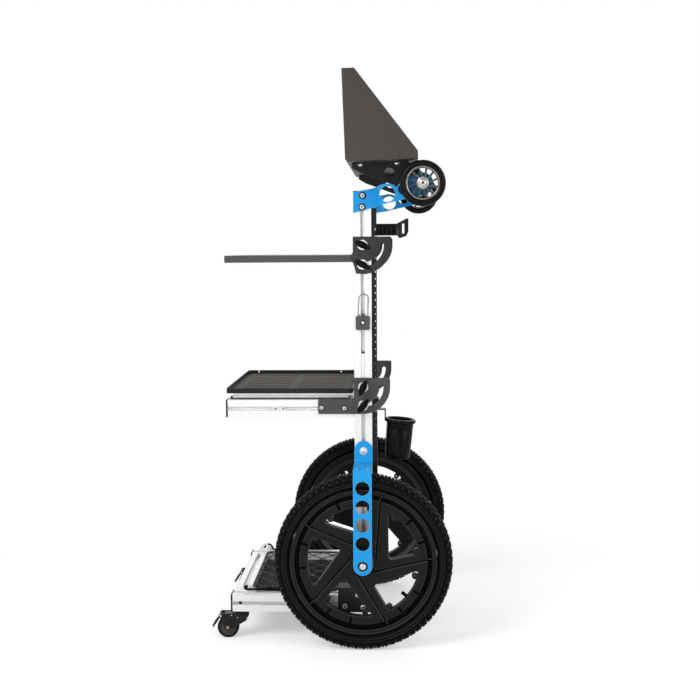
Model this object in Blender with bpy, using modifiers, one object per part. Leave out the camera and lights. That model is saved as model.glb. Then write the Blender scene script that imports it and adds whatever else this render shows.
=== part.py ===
"""Sound cart: an upright frame of slotted aluminium profile on two spoked pneumatic wheels.

Metres, +Z up. +X is the operator's side, where the console faces, -X the side the shelves
reach to. +Y is the operator's right. The pieces are placed from the centre of the uprights,
and the empty cart_origin shifts them so that the origin is at the bottom centre of the cart.
"""
import bpy
import bmesh
from math import acos, atan2, cos, hypot, pi, radians, sin, sqrt, tan
from mathutils import Matrix, Vector

# Fits: the gap kept between touching pieces, and the running clearance of a moving one
FIT = 0.0003
RUN = 0.001

# Slotted profile that the frame is made of
PROFILE = 0.040
SLOT_MOUTH = 0.008
SLOT_LIP = 0.0045
SLOT_CHAMBER = 0.018
SLOT_DEPTH = 0.0115
SLOT_FLOOR = 0.009
CAP = 0.004

# Upright frame
FRAME_WIDTH = 0.400
UPRIGHT_TOP = 1.021
SIDE_SHEET = 0.003

# Rack strip behind the left upright
RACK_SHEET = 0.002
RACK_LEG = 0.011
RACK_FACE = 0.024
RACK_END_GAP = 0.030

# Main wheels
TYRE_DIAMETER = 0.400
TYRE_WIDTH = 0.046
RIM_DIAMETER = 0.330
RIM_WIDTH = 0.034
WEB_RADIUS = 0.143
WEB_THICKNESS = 0.020
WINDOW_RADIUS = 0.125
SPOKES = 5
SPOKE_OFFSET = 0.027
SPOKE_HALF = 0.018
SPOKE_ROOT = 0.030
SPOKE_ANGLE = 85.0
GROOVE = 0.003
HUB_RADIUS = 0.026
HUB_LENGTH = 0.070
AXLE_RADIUS = 0.006

# Stirrups that hold the main wheels from outside
STIRRUP_REACH = 0.098
STIRRUP_SHEET = 0.004
STIRRUP_WIDTH = 0.041
STIRRUP_TAB = 0.048
TYRE_CLEARANCE = 0.012
BEND = 0.005
LIGHTENING_DIAMETER = 0.0315
LIGHTENING_PITCH = 0.0412
LIGHTENING_FIRST = 0.050
LIGHTENING_COUNT = 4
AXLE_HOLE = 0.011

# Top arms and the small loading wheels on them
ARM_SHEET = 0.004
ARM_JOG = 0.046
ARM_JOG_RUN = 0.012
SMALL_AXLE_X = 0.1333
SMALL_AXLE_Z = 1.0376
SMALL_DIAMETER = 0.100
SMALL_WIDTH = 0.024
SMALL_RIM_RADIUS = 0.036
SMALL_RIM_WALL = 0.0035
SMALL_HUB_RADIUS = 0.0135
SMALL_SPOKES = 12
SMALL_SPOKE = 0.0030
SMALL_AXLE_RADIUS = 0.005
ARM_BOSS = 0.024

# Console box and the brackets that it tilts on
CONSOLE_WIDTH = 0.562
CONSOLE_DEPTH = 0.157
CONSOLE_HEIGHT = 0.1975
CONSOLE_TOP_DEPTH = 0.027
CONSOLE_LIP = 0.016
CONSOLE_SHEET = 0.002
CONSOLE_TILT = 2.0
CONSOLE_WHEEL_GAP = 0.0025
CONSOLE_FRONT = 0.008
CONSOLE_FILLET = 0.0015
BRACKET_SHEET = 0.003
BRACKET_BOSS = 0.023
BRACKET_FLANGE = 0.026
BRACKET_BACK_INSET = 0.012
BRACKET_FRONT_INSET = 0.021

# Upper shelf, which folds up against the uprights
SHELF_PIVOT_Z = 0.9055
SHELF_DROP = 0.022
SHELF_REACH = 0.310
SHELF_FLANGE = 0.016
SHELF_SHEET = 0.003
SECTOR_RADIUS = 0.065
SECTOR_TOP = 0.0185
SLOT_RADIUS = 0.0435
SLOT_WIDTH = 0.009
UPRIGHT_CLEARANCE = 0.002

# Middle shelf: side rails, sector plates with arms, and a tray on slides
MID_PIVOT_Z = 0.5865
MID_RAIL_TOP = 0.5575
MID_REACH = 0.308
MID_SECTOR_RADIUS = 0.061
MID_SECTOR_TOP = 0.021
MID_SLOT_RADIUS = 0.0415
MID_ARM = 0.102
MID_ARM_HEIGHT = 0.034
TRAY_OVERHANG = 0.0035
TRAY_HEIGHT = 0.0115
TRAY_SHEET = 0.002
TRAY_CORNER = 0.010
SLIDE_HEIGHT = 0.0145
SLIDE_WIDTH = 0.012
TRAY_SLOTS = 8
TRAY_SLOT_LENGTH = 0.110
TRAY_SLOT_WIDTH = 0.008

# Wing knobs that clamp both shelves
KNOB_LENGTH = 0.042
KNOB_WIDTH = 0.015
KNOB_WING = 0.010
KNOB_STEM = 0.007
WASHER_RADIUS = 0.0115
WASHER = 0.0015
STUD_RADIUS = 0.0037
STUD_REACH = 0.006

# Bottom platform
CASTER_HEIGHT = 0.066
PLATFORM_REACH = 0.304
FLOOR_THICKNESS = 0.0074
FLOOR_EDGE = 0.006
EAR_LENGTH = 0.040
EAR_HEIGHT = 0.022
EAR_SHEET = 0.003
EAR_HOLE = 0.004
EAR_SETBACK = 0.033
NET_ROWS = 6
NET_COLUMNS = 4
NET_CORD = 0.004
NET_THICKNESS = 0.003
REAR_BLOCK_LENGTH = 0.040
REAR_BLOCK_HEIGHT = 0.018
REAR_PLATE_LENGTH = 0.078
REAR_PLATE_SHEET = 0.003

# Swivel casters under the front of the platform
CASTER_WHEEL = 0.050
CASTER_WHEEL_WIDTH = 0.018
CASTER_PLATE = 0.003
CASTER_PLATE_LENGTH = 0.040
CASTER_PLATE_WIDTH = 0.036
CASTER_TRAIL = 0.030
CASTER_SETBACK = 0.017
CASTER_HEAD = 0.0185
FORK_SHEET = 0.0035
PEDAL_LENGTH = 0.034
PEDAL_WIDTH = CASTER_WHEEL_WIDTH + 2 * RUN - 2 * FIT
PEDAL_SHEET = 0.003
PEDAL_SLOPE = 56.0
CASTER_PIN = 0.003

# Pole cup and pole clip on the left rack strip
CUP_RADIUS = 0.0305
CUP_BOTTOM_RADIUS = 0.028
CUP_LENGTH = 0.090
CUP_WALL = 0.003
CUP_RIM = 0.0045
CUP_RIM_HEIGHT = 0.008
CUP_LEAN = 5.0
CUP_X = 0.0838
CUP_TOP = 0.512
STRAP_WIDTH = 0.018
STRAP_SHEET = 0.003
STRAP_TOP = 0.5355
STRAP_TAB = 0.026
CLIP_BASE_Z = 0.926
CLIP_HEIGHT = 0.0275
CLIP_BODY = 0.046
CLIP_THICKNESS = 0.024
CLIP_SCALLOPS = 5

# Hook block with its wire loop on the left upright
BLOCK_SIZE = 0.031
BLOCK_THICKNESS = 0.011
BLOCK_Z = 0.7315
LOOP_WIDTH = 0.0222
LOOP_HEIGHT = 0.046
WIRE_RADIUS = 0.0013
INSERT_BOTTOM = 0.607
INSERT_TOP = 0.666

# Places that follow from the sizes above
HALF = FRAME_WIDTH / 2
RAIL_Y = HALF - PROFILE / 2
FACE = PROFILE / 2
AXLE_Z = TYRE_DIAMETER / 2
WHEEL_Y = HALF + STIRRUP_REACH / 2
SHELF_SKIN = HALF + 0.0005
KNOB_SEAT = SHELF_SKIN + SIDE_SHEET + FIT
ARM_OUTER = HALF + FIT + ARM_SHEET + ARM_JOG
SMALL_WHEEL_Y = ARM_OUTER + RUN + SMALL_WIDTH / 2 + 0.002
BRACKET_Y = HALF + FIT + ARM_SHEET + 0.002
CONSOLE_BASE = SMALL_DIAMETER / 2 + CONSOLE_WHEEL_GAP
TRAY_FRONT = MID_REACH + TRAY_OVERHANG
RAIL_TOP = CASTER_HEIGHT + PROFILE
RAIL_MIDDLE = CASTER_HEIGHT + PROFILE / 2
RACK_REAR = FACE + FIT + RACK_LEG
CASTER_X = -(PLATFORM_REACH - CASTER_SETBACK)
CASTER_AXLE_X = CASTER_X - CASTER_TRAIL
PEDAL_PIVOT_X = CASTER_AXLE_X - 0.0165
PEDAL_PIVOT_Z = CASTER_HEIGHT - CASTER_PLATE - 0.010
PEDAL_SIDE = PEDAL_SHEET / 2 * sin(radians(PEDAL_SLOPE))
PEDAL_TIP_X = PEDAL_PIVOT_X - PEDAL_LENGTH * cos(radians(PEDAL_SLOPE)) - PEDAL_SIDE
CENTRE_X = (PEDAL_TIP_X + TYRE_DIAMETER / 2) / 2

SEGMENTS = 36
SMALL_SEGMENTS = 24

for leftover in list(bpy.data.objects):
    bpy.data.objects.remove(leftover, do_unlink=True)

cart = bpy.data.collections.new("sound_cart")
bpy.context.scene.collection.children.link(cart)


# Modelling tools: each returns a mesh of one closed body

def evaluate(data, modifiers=()):
    """Returns the welded mesh of an object made from data and the given modifiers."""
    holder = bpy.data.objects.new("holder", data)
    bpy.context.scene.collection.objects.link(holder)
    for kind, settings in modifiers:
        modifier = holder.modifiers.new(kind, kind)
        for key, value in settings.items():
            setattr(modifier, key, value)
    graph = bpy.context.evaluated_depsgraph_get()
    mesh = bpy.data.meshes.new_from_object(holder.evaluated_get(graph))
    bpy.data.objects.remove(holder, do_unlink=True)
    bm = bmesh.new()
    bm.from_mesh(mesh)
    bmesh.ops.remove_doubles(bm, verts=bm.verts, dist=0.000005)
    bmesh.ops.recalc_face_normals(bm, faces=bm.faces)
    bm.to_mesh(mesh)
    bm.free()
    return mesh


def combine(mesh, other, operation):
    """Booleans the other mesh with the first one."""
    tool = bpy.data.objects.new("tool", other)
    bpy.context.scene.collection.objects.link(tool)
    result = evaluate(mesh, [("BOOLEAN", {"object": tool, "operation": operation, "solver": "EXACT"})])
    bpy.data.objects.remove(tool, do_unlink=True)
    return result


def fuse(mesh, *others):
    for other in others:
        mesh = combine(mesh, other, "UNION")
    return mesh


def cut(mesh, *others):
    for other in others:
        mesh = combine(mesh, other, "DIFFERENCE")
    return mesh


def common(mesh, other):
    return combine(mesh, other, "INTERSECT")


def moved(mesh, x=0.0, y=0.0, z=0.0):
    mesh.transform(Matrix.Translation((x, y, z)))
    return mesh


def rotated(mesh, degrees, axis):
    mesh.transform(Matrix.Rotation(radians(degrees), 4, axis))
    return mesh


def copied(mesh):
    return mesh.copy()


def box(size, centre=(0.0, 0.0, 0.0)):
    mesh = bpy.data.meshes.new("box")
    bm = bmesh.new()
    place = Matrix.Translation(centre) @ Matrix.Diagonal((*size, 1.0))
    bmesh.ops.create_cube(bm, size=1.0, matrix=place)
    bm.to_mesh(mesh)
    bm.free()
    return mesh


def span(x0, x1, y0, y1, z0, z1):
    """A box between two corners."""
    return box((x1 - x0, y1 - y0, z1 - z0), ((x0 + x1) / 2, (y0 + y1) / 2, (z0 + z1) / 2))


def drum(radius, length, axis, centre=(0.0, 0.0, 0.0), segments=SMALL_SEGMENTS, far_radius=None):
    """A cylinder or cone along X, Y or Z, far_radius being its radius at the positive end."""
    turn = {"X": Matrix.Rotation(pi / 2, 4, "Y"), "Y": Matrix.Rotation(-pi / 2, 4, "X"),
            "Z": Matrix()}[axis]
    mesh = bpy.data.meshes.new("drum")
    bm = bmesh.new()
    bmesh.ops.create_cone(bm, cap_ends=True, segments=segments, radius1=radius,
                          radius2=radius if far_radius is None else far_radius,
                          depth=length, matrix=Matrix.Translation(centre) @ turn)
    bm.to_mesh(mesh)
    bm.free()
    return mesh


def tidied(mesh):
    """Turns the edges inside the flat top and bottom so that no sliver triangle is left."""
    bm = bmesh.new()
    bm.from_mesh(mesh)
    flat = {face for face in bm.faces if len({round(vert.co.z, 6) for vert in face.verts}) == 1}
    inside = [edge for edge in bm.edges if all(face in flat for face in edge.link_faces)]
    bmesh.ops.beautify_fill(bm, faces=list(flat), edges=inside)
    bm.to_mesh(mesh)
    bm.free()
    return mesh


def prism(loops, depth, axis):
    """Extrudes a flat outline, with its holes, by depth about its own plane.

    Axis Z takes points as (x, y), axis Y as (x, z) and axis X as (y, z).
    """
    curve = bpy.data.curves.new("outline", "CURVE")
    curve.dimensions = "2D"
    curve.fill_mode = "BOTH"
    curve.extrude = depth / 2
    for loop in loops:
        spline = curve.splines.new("POLY")
        spline.points.add(len(loop) - 1)
        for point, (a, b) in zip(spline.points, loop):
            point.co = (a, b, 0.0, 1.0)
        spline.use_cyclic_u = True
    mesh = tidied(evaluate(curve))
    bpy.data.curves.remove(curve)
    if axis == "Y":
        mesh.transform(Matrix.Rotation(pi / 2, 4, "X"))
    if axis == "X":
        mesh.transform(Matrix(((0, 0, 1, 0), (1, 0, 0, 0), (0, 1, 0, 0), (0, 0, 0, 1))))
    return mesh


def turned(profile, axis="Y", segments=SEGMENTS, closed=False):
    """Turns a profile of (radius, position along the axis) points about an axis."""
    mesh = bpy.data.meshes.new("profile")
    if axis == "Z":
        points = [(radius, 0.0, along) for radius, along in profile]
    else:
        points = [(radius, along, 0.0) for radius, along in profile]
    edges = [(i, i + 1) for i in range(len(points) - 1)]
    if closed:
        edges.append((len(points) - 1, 0))
    mesh.from_pydata(points, edges, [])
    settings = {"axis": axis, "steps": segments, "render_steps": segments, "use_merge_vertices": True,
                "merge_threshold": 0.00001}
    return evaluate(mesh, [("SCREW", settings)])


def tube(points, radius, resolution=1, cyclic=False):
    """A round wire through the given points."""
    curve = bpy.data.curves.new("wire", "CURVE")
    curve.dimensions = "3D"
    curve.bevel_depth = radius
    curve.bevel_resolution = resolution
    curve.use_fill_caps = not cyclic
    spline = curve.splines.new("POLY")
    spline.points.add(len(points) - 1)
    for point, place in zip(spline.points, points):
        point.co = (*place, 1.0)
    spline.use_cyclic_u = cyclic
    mesh = evaluate(curve)
    bpy.data.curves.remove(curve)
    return mesh


def bent_sheet(path, thickness, width, axis):
    """A strip of sheet bent along a flat path: axis X takes (y, z) points and axis Z takes (x, y)."""
    mesh = bpy.data.meshes.new("strip")
    bm = bmesh.new()
    rows = []
    for end in (-width / 2, width / 2):
        if axis == "X":
            rows.append([bm.verts.new((end, a, b)) for a, b in path])
        elif axis == "Y":
            rows.append([bm.verts.new((a, end, b)) for a, b in path])
        else:
            rows.append([bm.verts.new((a, b, end)) for a, b in path])
    edges = [bm.edges.new(pair) for row in rows for pair in zip(row, row[1:])]
    bmesh.ops.bridge_loops(bm, edges=edges)
    bm.to_mesh(mesh)
    bm.free()
    return evaluate(mesh, [("SOLIDIFY", {"thickness": thickness, "offset": 0.0, "use_even_offset": True})])


# Outlines

def arc(centre, radius, start, end, steps):
    """Points of an arc, in degrees, both ends included."""
    points = []
    for i in range(steps + 1):
        angle = radians(start + (end - start) * i / steps)
        points.append((centre[0] + radius * cos(angle), centre[1] + radius * sin(angle)))
    return points


def circle(centre, radius, steps):
    return arc(centre, radius, 0.0, 360.0, steps)[:-1]


def corner(before, point, after, radius, steps):
    """The arc that rounds one corner, limited by the lengths beside it."""
    here = Vector(point)
    back = (Vector(before) - here)
    ahead = (Vector(after) - here)
    half = acos(max(-1.0, min(1.0, back.normalized().dot(ahead.normalized())))) / 2
    if radius <= 0 or abs(half - pi / 2) < 0.01:
        return [tuple(here)]
    reach = min(radius / tan(half), 0.48 * back.length, 0.48 * ahead.length)
    radius = reach * tan(half)
    start = here + back.normalized() * reach
    middle = here + (back.normalized() + ahead.normalized()).normalized() * (radius / sin(half))
    first = atan2(start.y - middle.y, start.x - middle.x)
    end = here + ahead.normalized() * reach
    last = atan2(end.y - middle.y, end.x - middle.x)
    sweep = (last - first + pi) % (2 * pi) - pi
    return [(middle.x + radius * cos(first + sweep * i / steps),
             middle.y + radius * sin(first + sweep * i / steps))
            for i in range(steps + 1)]


def rounded(points, radius, steps=3, closed=True):
    """Rounds the corners of an outline; radius is one value or one for each point."""
    count = len(points)
    radii = radius if isinstance(radius, (list, tuple)) else [radius] * count
    result = []
    for i, point in enumerate(points):
        if not closed and i in (0, count - 1):
            result.append(point)
        else:
            result.extend(corner(points[i - 1], point, points[(i + 1) % count], radii[i], steps))
    return result


def arc_slot(centre, radius, width, start, end, steps=7):
    """A slot that follows an arc, with round ends."""
    outer = arc(centre, radius + width / 2, start, end, steps)
    inner = arc(centre, radius - width / 2, end, start, steps)
    far = arc((centre[0] + radius * cos(radians(end)), centre[1] + radius * sin(radians(end))),
              width / 2, end, end - 180.0 if end < start else end + 180.0, 4)
    near = arc((centre[0] + radius * cos(radians(start)), centre[1] + radius * sin(radians(start))),
               width / 2, start - 180.0 if end > start else start + 180.0, start, 4)
    return outer + far[1:-1] + inner + near[1:-1]


def profile_outline():
    """The section of the slotted profile: the same slot in each of its four faces."""
    side = PROFILE / 2
    mouth = SLOT_MOUTH / 2
    chamber = SLOT_CHAMBER / 2
    floor = SLOT_FLOOR / 2
    knee = side - SLOT_DEPTH + (chamber - floor)
    face = [(-side, side), (-mouth, side), (-mouth, side - SLOT_LIP), (-chamber, side - SLOT_LIP),
            (-chamber, knee), (-floor, side - SLOT_DEPTH), (floor, side - SLOT_DEPTH), (chamber, knee),
            (chamber, side - SLOT_LIP), (mouth, side - SLOT_LIP), (mouth, side)]
    outline = []
    for quarter in range(4):
        angle = -quarter * pi / 2
        outline += [(a * cos(angle) - b * sin(angle), a * sin(angle) + b * cos(angle)) for a, b in face]
    return outline


def rail(length, axis, cap_ends=()):
    """A length of profile along an axis, centred, with plastic caps past the named ends."""
    mesh = prism([profile_outline()], length, axis)
    inset = PROFILE - 0.0004
    for end in cap_ends:
        place = [0.0, 0.0, 0.0]
        size = [inset, inset, inset]
        index = "XYZ".index(axis)
        size[index] = CAP + 0.001
        place[index] = end * (length / 2 + CAP / 2 - 0.0005)
        mesh = fuse(mesh, box(size, place))
    return mesh


# Materials and placing

def finish(name, colour, roughness, metallic=0.0):
    material = bpy.data.materials.new(name)
    material.use_nodes = True
    shader = material.node_tree.nodes["Principled BSDF"]
    shader.inputs["Base Color"].default_value = (*colour, 1.0)
    shader.inputs["Roughness"].default_value = roughness
    shader.inputs["Metallic"].default_value = metallic
    material.diffuse_color = (*colour, 1.0)
    return material


aluminium = finish("anodised_aluminium", (0.80, 0.80, 0.79), 0.32, 0.9)
steel = finish("zinc_plated_steel", (0.70, 0.69, 0.66), 0.30, 1.0)
blue = finish("blue_powder_coat", (0.045, 0.35, 0.83), 0.38)
black_sheet = finish("black_powder_coat", (0.035, 0.034, 0.033), 0.5)
console_grey = finish("dark_textured_coat", (0.075, 0.070, 0.066), 0.55)
rubber = finish("black_rubber", (0.014, 0.014, 0.015), 0.75)
rim_plastic = finish("charcoal_plastic", (0.028, 0.027, 0.026), 0.5)
black_plastic = finish("black_plastic", (0.018, 0.018, 0.019), 0.42)
hub_metal = finish("cast_hub_metal", (0.42, 0.40, 0.36), 0.35, 0.8)
deck = finish("black_deck_board", (0.02, 0.02, 0.02), 0.6)
elastic = finish("black_elastic_cord", (0.03, 0.029, 0.028), 0.8)

origin = bpy.data.objects.new("cart_origin", None)
cart.objects.link(origin)
origin.location = (-CENTRE_X, 0.0, 0.0)


def pivot(name, location, parent=origin):
    """An empty on a joint's axis, which the pieces of one moving body hang from."""
    empty = bpy.data.objects.new(name, None)
    cart.objects.link(empty)
    empty.parent = parent
    empty.location = location
    return empty


def piece(name, mesh, material, location=(0.0, 0.0, 0.0), parent=origin, turn=0.0):
    """Adds one sub-part; turn is its rotation about the vertical in degrees."""
    mesh.name = name
    mesh.materials.clear()
    mesh.materials.append(material)
    mesh.shade_smooth()
    mesh.set_sharp_from_angle(angle=radians(32.0))
    part = bpy.data.objects.new(name, mesh)
    cart.objects.link(part)
    part.parent = parent
    part.location = location
    part.rotation_euler = (0.0, 0.0, radians(turn))
    return part


SIDES = (("left", -1), ("right", 1))


# Frame of slotted profile

def upright(side):
    length = UPRIGHT_TOP - CASTER_HEIGHT
    mesh = rail(length, "Z", cap_ends=(1,))
    if side < 0:
        depth = SLOT_DEPTH + 0.001
        height = INSERT_TOP - INSERT_BOTTOM
        middle = (INSERT_TOP + INSERT_BOTTOM) / 2 - CASTER_HEIGHT - length / 2
        insert = box((SLOT_MOUTH - 2 * FIT, depth, height), (0.0, -FACE + depth / 2 + 0.0005, middle))
        mesh = fuse(mesh, insert)
    return mesh


for label, side in SIDES:
    piece(f"upright_{label}", upright(side), aluminium,
          (0.0, side * RAIL_Y, (UPRIGHT_TOP + CASTER_HEIGHT) / 2))

inner_span = FRAME_WIDTH - 2 * PROFILE - 2 * FIT
piece("cross_rail_top", rail(inner_span, "Y"), aluminium, (0.0, 0.0, UPRIGHT_TOP - PROFILE / 2))
piece("cross_rail_bottom", rail(inner_span, "Y"), aluminium, (0.0, 0.0, RAIL_MIDDLE))


# Rack strip: a channel on the rear of the left upright

rack_bottom = RAIL_TOP + RACK_END_GAP
rack_top = UPRIGHT_TOP - PROFILE - RACK_END_GAP


def rack_strip():
    near = FACE + FIT
    web = RACK_REAR - RACK_SHEET
    edge = RACK_FACE / 2
    wall = RACK_FACE / 2 - RACK_SHEET
    outline = [(near, edge), (RACK_REAR, edge), (RACK_REAR, -edge), (near, -edge),
               (near, -wall), (web, -wall), (web, wall), (near, wall)]
    return prism([outline], rack_top - rack_bottom, "Z")


piece("rack_rail", rack_strip(), black_sheet, (0.0, -RAIL_Y, (rack_top + rack_bottom) / 2))


# Stirrups: a tab on the upright, a shelf over the tyre and an arm down to the axle

def stirrup(side):
    half_sheet = STIRRUP_SHEET / 2
    tab_y = HALF + FIT + half_sheet
    arm_y = HALF + STIRRUP_REACH - half_sheet
    shelf_z = TYRE_DIAMETER + TYRE_CLEARANCE + half_sheet
    top = shelf_z + half_sheet + STIRRUP_TAB
    path = rounded([(side * tab_y, top + 0.01), (side * tab_y, shelf_z), (side * arm_y, shelf_z),
                    (side * arm_y, AXLE_Z - STIRRUP_WIDTH)], BEND, 3, closed=False)
    strip = bent_sheet(path, STIRRUP_SHEET, STIRRUP_WIDTH + 0.01, "X")
    radius = STIRRUP_WIDTH / 2
    outline = arc((0.0, top - radius), radius, 0.0, 180.0, 12) + arc((0.0, AXLE_Z), radius, 180.0, 360.0,
                                                                     12)
    holes = [circle((0.0, AXLE_Z), AXLE_HOLE, 16)]
    for i in range(LIGHTENING_COUNT):
        place = (0.0, AXLE_Z + LIGHTENING_FIRST + i * LIGHTENING_PITCH)
        holes.append(circle(place, LIGHTENING_DIAMETER / 2, 16))
    blank = moved(prism([outline] + holes, STIRRUP_REACH + 0.04, "Y"), y=side * WHEEL_Y)
    return common(strip, blank)


# Axles: a flange on the upright, a shaft through the hub and a bush in the arm

def main_axle(side):
    start = HALF + FIT
    arm_inner = HALF + STIRRUP_REACH - STIRRUP_SHEET
    bush = AXLE_HOLE - FIT
    outer = arm_inner + STIRRUP_SHEET
    steps = [(0.0, start), (0.015, start), (0.015, start + 0.005), (AXLE_RADIUS, start + 0.005),
             (AXLE_RADIUS, arm_inner - 0.003), (bush, arm_inner - 0.003), (bush, outer + 0.0005),
             (0.0085, outer + 0.0005), (0.0075, outer + 0.003), (0.0, outer + 0.003)]
    return turned([(radius, side * along) for radius, along in steps], segments=12)


for label, side in SIDES:
    piece(f"stirrup_{label}", stirrup(side), blue)
    piece(f"axle_{label}", main_axle(side), steel, (0.0, 0.0, AXLE_Z))


# Main wheels

def spoke_frame(angle):
    """Direction of a spoke and the direction to its clockwise side."""
    along = Vector((cos(radians(angle)), sin(radians(angle))))
    across = Vector((along.y, -along.x))
    return along, across


def crossing(point, direction, other, other_direction):
    """Where two lines meet."""
    scale = direction.x * other_direction.y - direction.y * other_direction.x
    gap = other - point
    return point + direction * ((gap.x * other_direction.y - gap.y * other_direction.x) / scale)


def rim_point(point, direction, radius):
    """Where a line leaves a circle about the centre."""
    along = -point.dot(direction)
    foot = point + direction * along
    return foot + direction * sqrt(radius ** 2 - foot.length_squared)


def wheel_window(angle):
    """The opening on the clockwise side of a spoke: two straight edges and an arc."""
    along, across = spoke_frame(angle)
    reach = WINDOW_RADIUS
    start = across * (SPOKE_OFFSET + SPOKE_ROOT)
    end = across * (SPOKE_OFFSET + SPOKE_HALF) + along * reach
    lean = (end - start).normalized()
    next_along, next_across = spoke_frame(angle - 360.0 / SPOKES)
    edge = next_across * (SPOKE_OFFSET - SPOKE_HALF)
    inner = crossing(start, lean, edge, next_along)
    first = rim_point(start, lean, WINDOW_RADIUS)
    last = rim_point(edge, next_along, WINDOW_RADIUS)
    first_angle = atan2(first.y, first.x) * 180.0 / pi
    last_angle = atan2(last.y, last.x) * 180.0 / pi
    sweep = (last_angle - first_angle) % -360.0
    middle = arc((0.0, 0.0), WINDOW_RADIUS, first_angle, first_angle + sweep, 6)[1:-1]
    points = [tuple(inner), tuple(first)] + middle + [tuple(last)]
    return rounded(points, [0.008, 0.007] + [0.0] * len(middle) + [0.007], 2)


def wheel_rim():
    """Five-spoked moulded wheel, its outer face towards -Y."""
    web_middle = -0.001
    loops = [circle((0.0, 0.0), WEB_RADIUS, SEGMENTS)]
    angles = [SPOKE_ANGLE - 360.0 / SPOKES * i for i in range(SPOKES)]
    loops += [wheel_window(angle) for angle in angles]
    web = moved(prism(loops, WEB_THICKNESS, "Y"), y=web_middle)
    flange = RIM_DIAMETER / 2
    inside = flange - 0.014
    half = RIM_WIDTH / 2
    ledge = WEB_RADIUS - 0.004
    barrel = [(flange, -half), (flange, half), (inside, half), (ledge, 0.0085),
              (ledge, -0.0015), (inside, -0.0015), (inside, -half)]
    ring = turned(barrel, closed=True)
    hub_half = HUB_LENGTH / 2
    bore = AXLE_RADIUS + FIT
    sleeve = HUB_RADIUS * 0.6
    sides = 12
    hub = turned([(bore, -hub_half), (sleeve, -hub_half), (HUB_RADIUS, -WEB_THICKNESS),
                  (HUB_RADIUS, WEB_THICKNESS), (sleeve, hub_half), (bore,
                                                                    hub_half)], segments=sides, closed=True)
    passage = drum(bore + 0.001, WEB_THICKNESS + 0.01, "Y", (0.0, web_middle, 0.0), sides)
    web = cut(web, passage)
    mesh = fuse(web, ring, hub)
    face = web_middle - WEB_THICKNESS / 2
    for angle in angles:
        along, across = spoke_frame(angle)
        start = SPOKE_OFFSET * across + along * 0.004
        end = SPOKE_OFFSET * across + along * (WEB_RADIUS + 0.004)
        middle = (start + end) / 2
        groove = box(((end - start).length, 2 * GROOVE, GROOVE))
        groove = moved(rotated(groove, -angle, "Y"), middle.x, face, middle.y)
        mesh = cut(mesh, groove)
    valve = drum(0.0035, 0.036, "X", (WEB_RADIUS - 0.018, 0.0035, 0.0), 8)
    return fuse(mesh, rotated(valve, 39.5, "Y"))


def main_tyre():
    """Pneumatic tyre: its section from the bead seat round the shoulders to the crown."""
    crown = TYRE_DIAMETER / 2
    seat = RIM_DIAMETER / 2 + FIT
    belly = TYRE_WIDTH / 2
    height = crown - seat
    half_section = [(crown, 0.38 * belly), (crown - 0.13 * height, 0.80 * belly),
                    (crown - 0.42 * height, belly),
                    (seat, 0.80 * belly)]
    other_half = [(radius, -along) for radius, along in reversed(half_section)]
    return turned(half_section + other_half, closed=True)


rim_mesh = wheel_rim()
tyre_mesh = main_tyre()
for label, side in SIDES:
    hub_pivot = pivot(f"main_axis_{label}", (0.0, side * WHEEL_Y, AXLE_Z))
    turn = 0.0 if side < 0 else 180.0
    piece(f"wheel_rim_{label}", copied(rim_mesh), rim_plastic, parent=hub_pivot, turn=turn)
    piece(f"tyre_{label}", copied(tyre_mesh), rubber, parent=hub_pivot, turn=turn)


# Top arms: bolted to the uprights, set outwards and rising to the small axle

def top_arm(side):
    inner = HALF + FIT + ARM_SHEET / 2
    outer = inner + ARM_JOG
    jog_start = FACE + 0.011
    path = rounded([(-FACE - 0.01, side * inner), (jog_start, side * inner),
                    (jog_start + ARM_JOG_RUN, side * outer),
                    (SMALL_AXLE_X + ARM_BOSS + 0.01, side * outer)], BEND, 3, closed=False)
    height = 0.16
    strip = moved(bent_sheet(path, ARM_SHEET, height, "Z"), z=SMALL_AXLE_Z - 0.02)
    axle = (SMALL_AXLE_X, SMALL_AXLE_Z)
    foot = UPRIGHT_TOP - 0.0445
    lower = [(-FACE, foot), (0.032, foot + 0.0135)]
    boss = arc(axle, ARM_BOSS, -76.0, 130.0, 12)
    upper = [(0.104, UPRIGHT_TOP + 0.033), (0.088, UPRIGHT_TOP + 0.022), (0.0765, UPRIGHT_TOP + 0.0095),
             (0.066, UPRIGHT_TOP + 0.0155), (0.053, UPRIGHT_TOP + 0.0175), (0.020, UPRIGHT_TOP + 0.0085),
             (-FACE, UPRIGHT_TOP + 0.0015)]
    outline = lower + boss + upper
    big_hole = circle((0.0562, UPRIGHT_TOP - 0.0055), 0.0172, 20)
    small_hole = circle((0.093, UPRIGHT_TOP + 0.005), 0.0132, 16)
    axle_hole = circle(axle, SMALL_AXLE_RADIUS + FIT, 12)
    blank = prism([outline, big_hole, small_hole, axle_hole], ARM_JOG + 0.05, "Y")
    return common(strip, moved(blank, y=side * (HALF + ARM_JOG / 2)))


# Small axles: a bolt through wheel, arm and console bracket, with its head outside

def small_axle(side):
    head = SMALL_WHEEL_Y + SMALL_WIDTH / 2 + 0.0045
    nut = BRACKET_Y - 0.008
    steps = [(0.0, head + 0.003), (0.0065, head + 0.003), (0.0075, head), (SMALL_AXLE_RADIUS, head),
             (SMALL_AXLE_RADIUS, BRACKET_Y - FIT), (0.0085, BRACKET_Y - FIT), (0.0085, nut), (0.0, nut)]
    return turned([(radius, side * along) for radius, along in steps], segments=12)


# Small wheels

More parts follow.
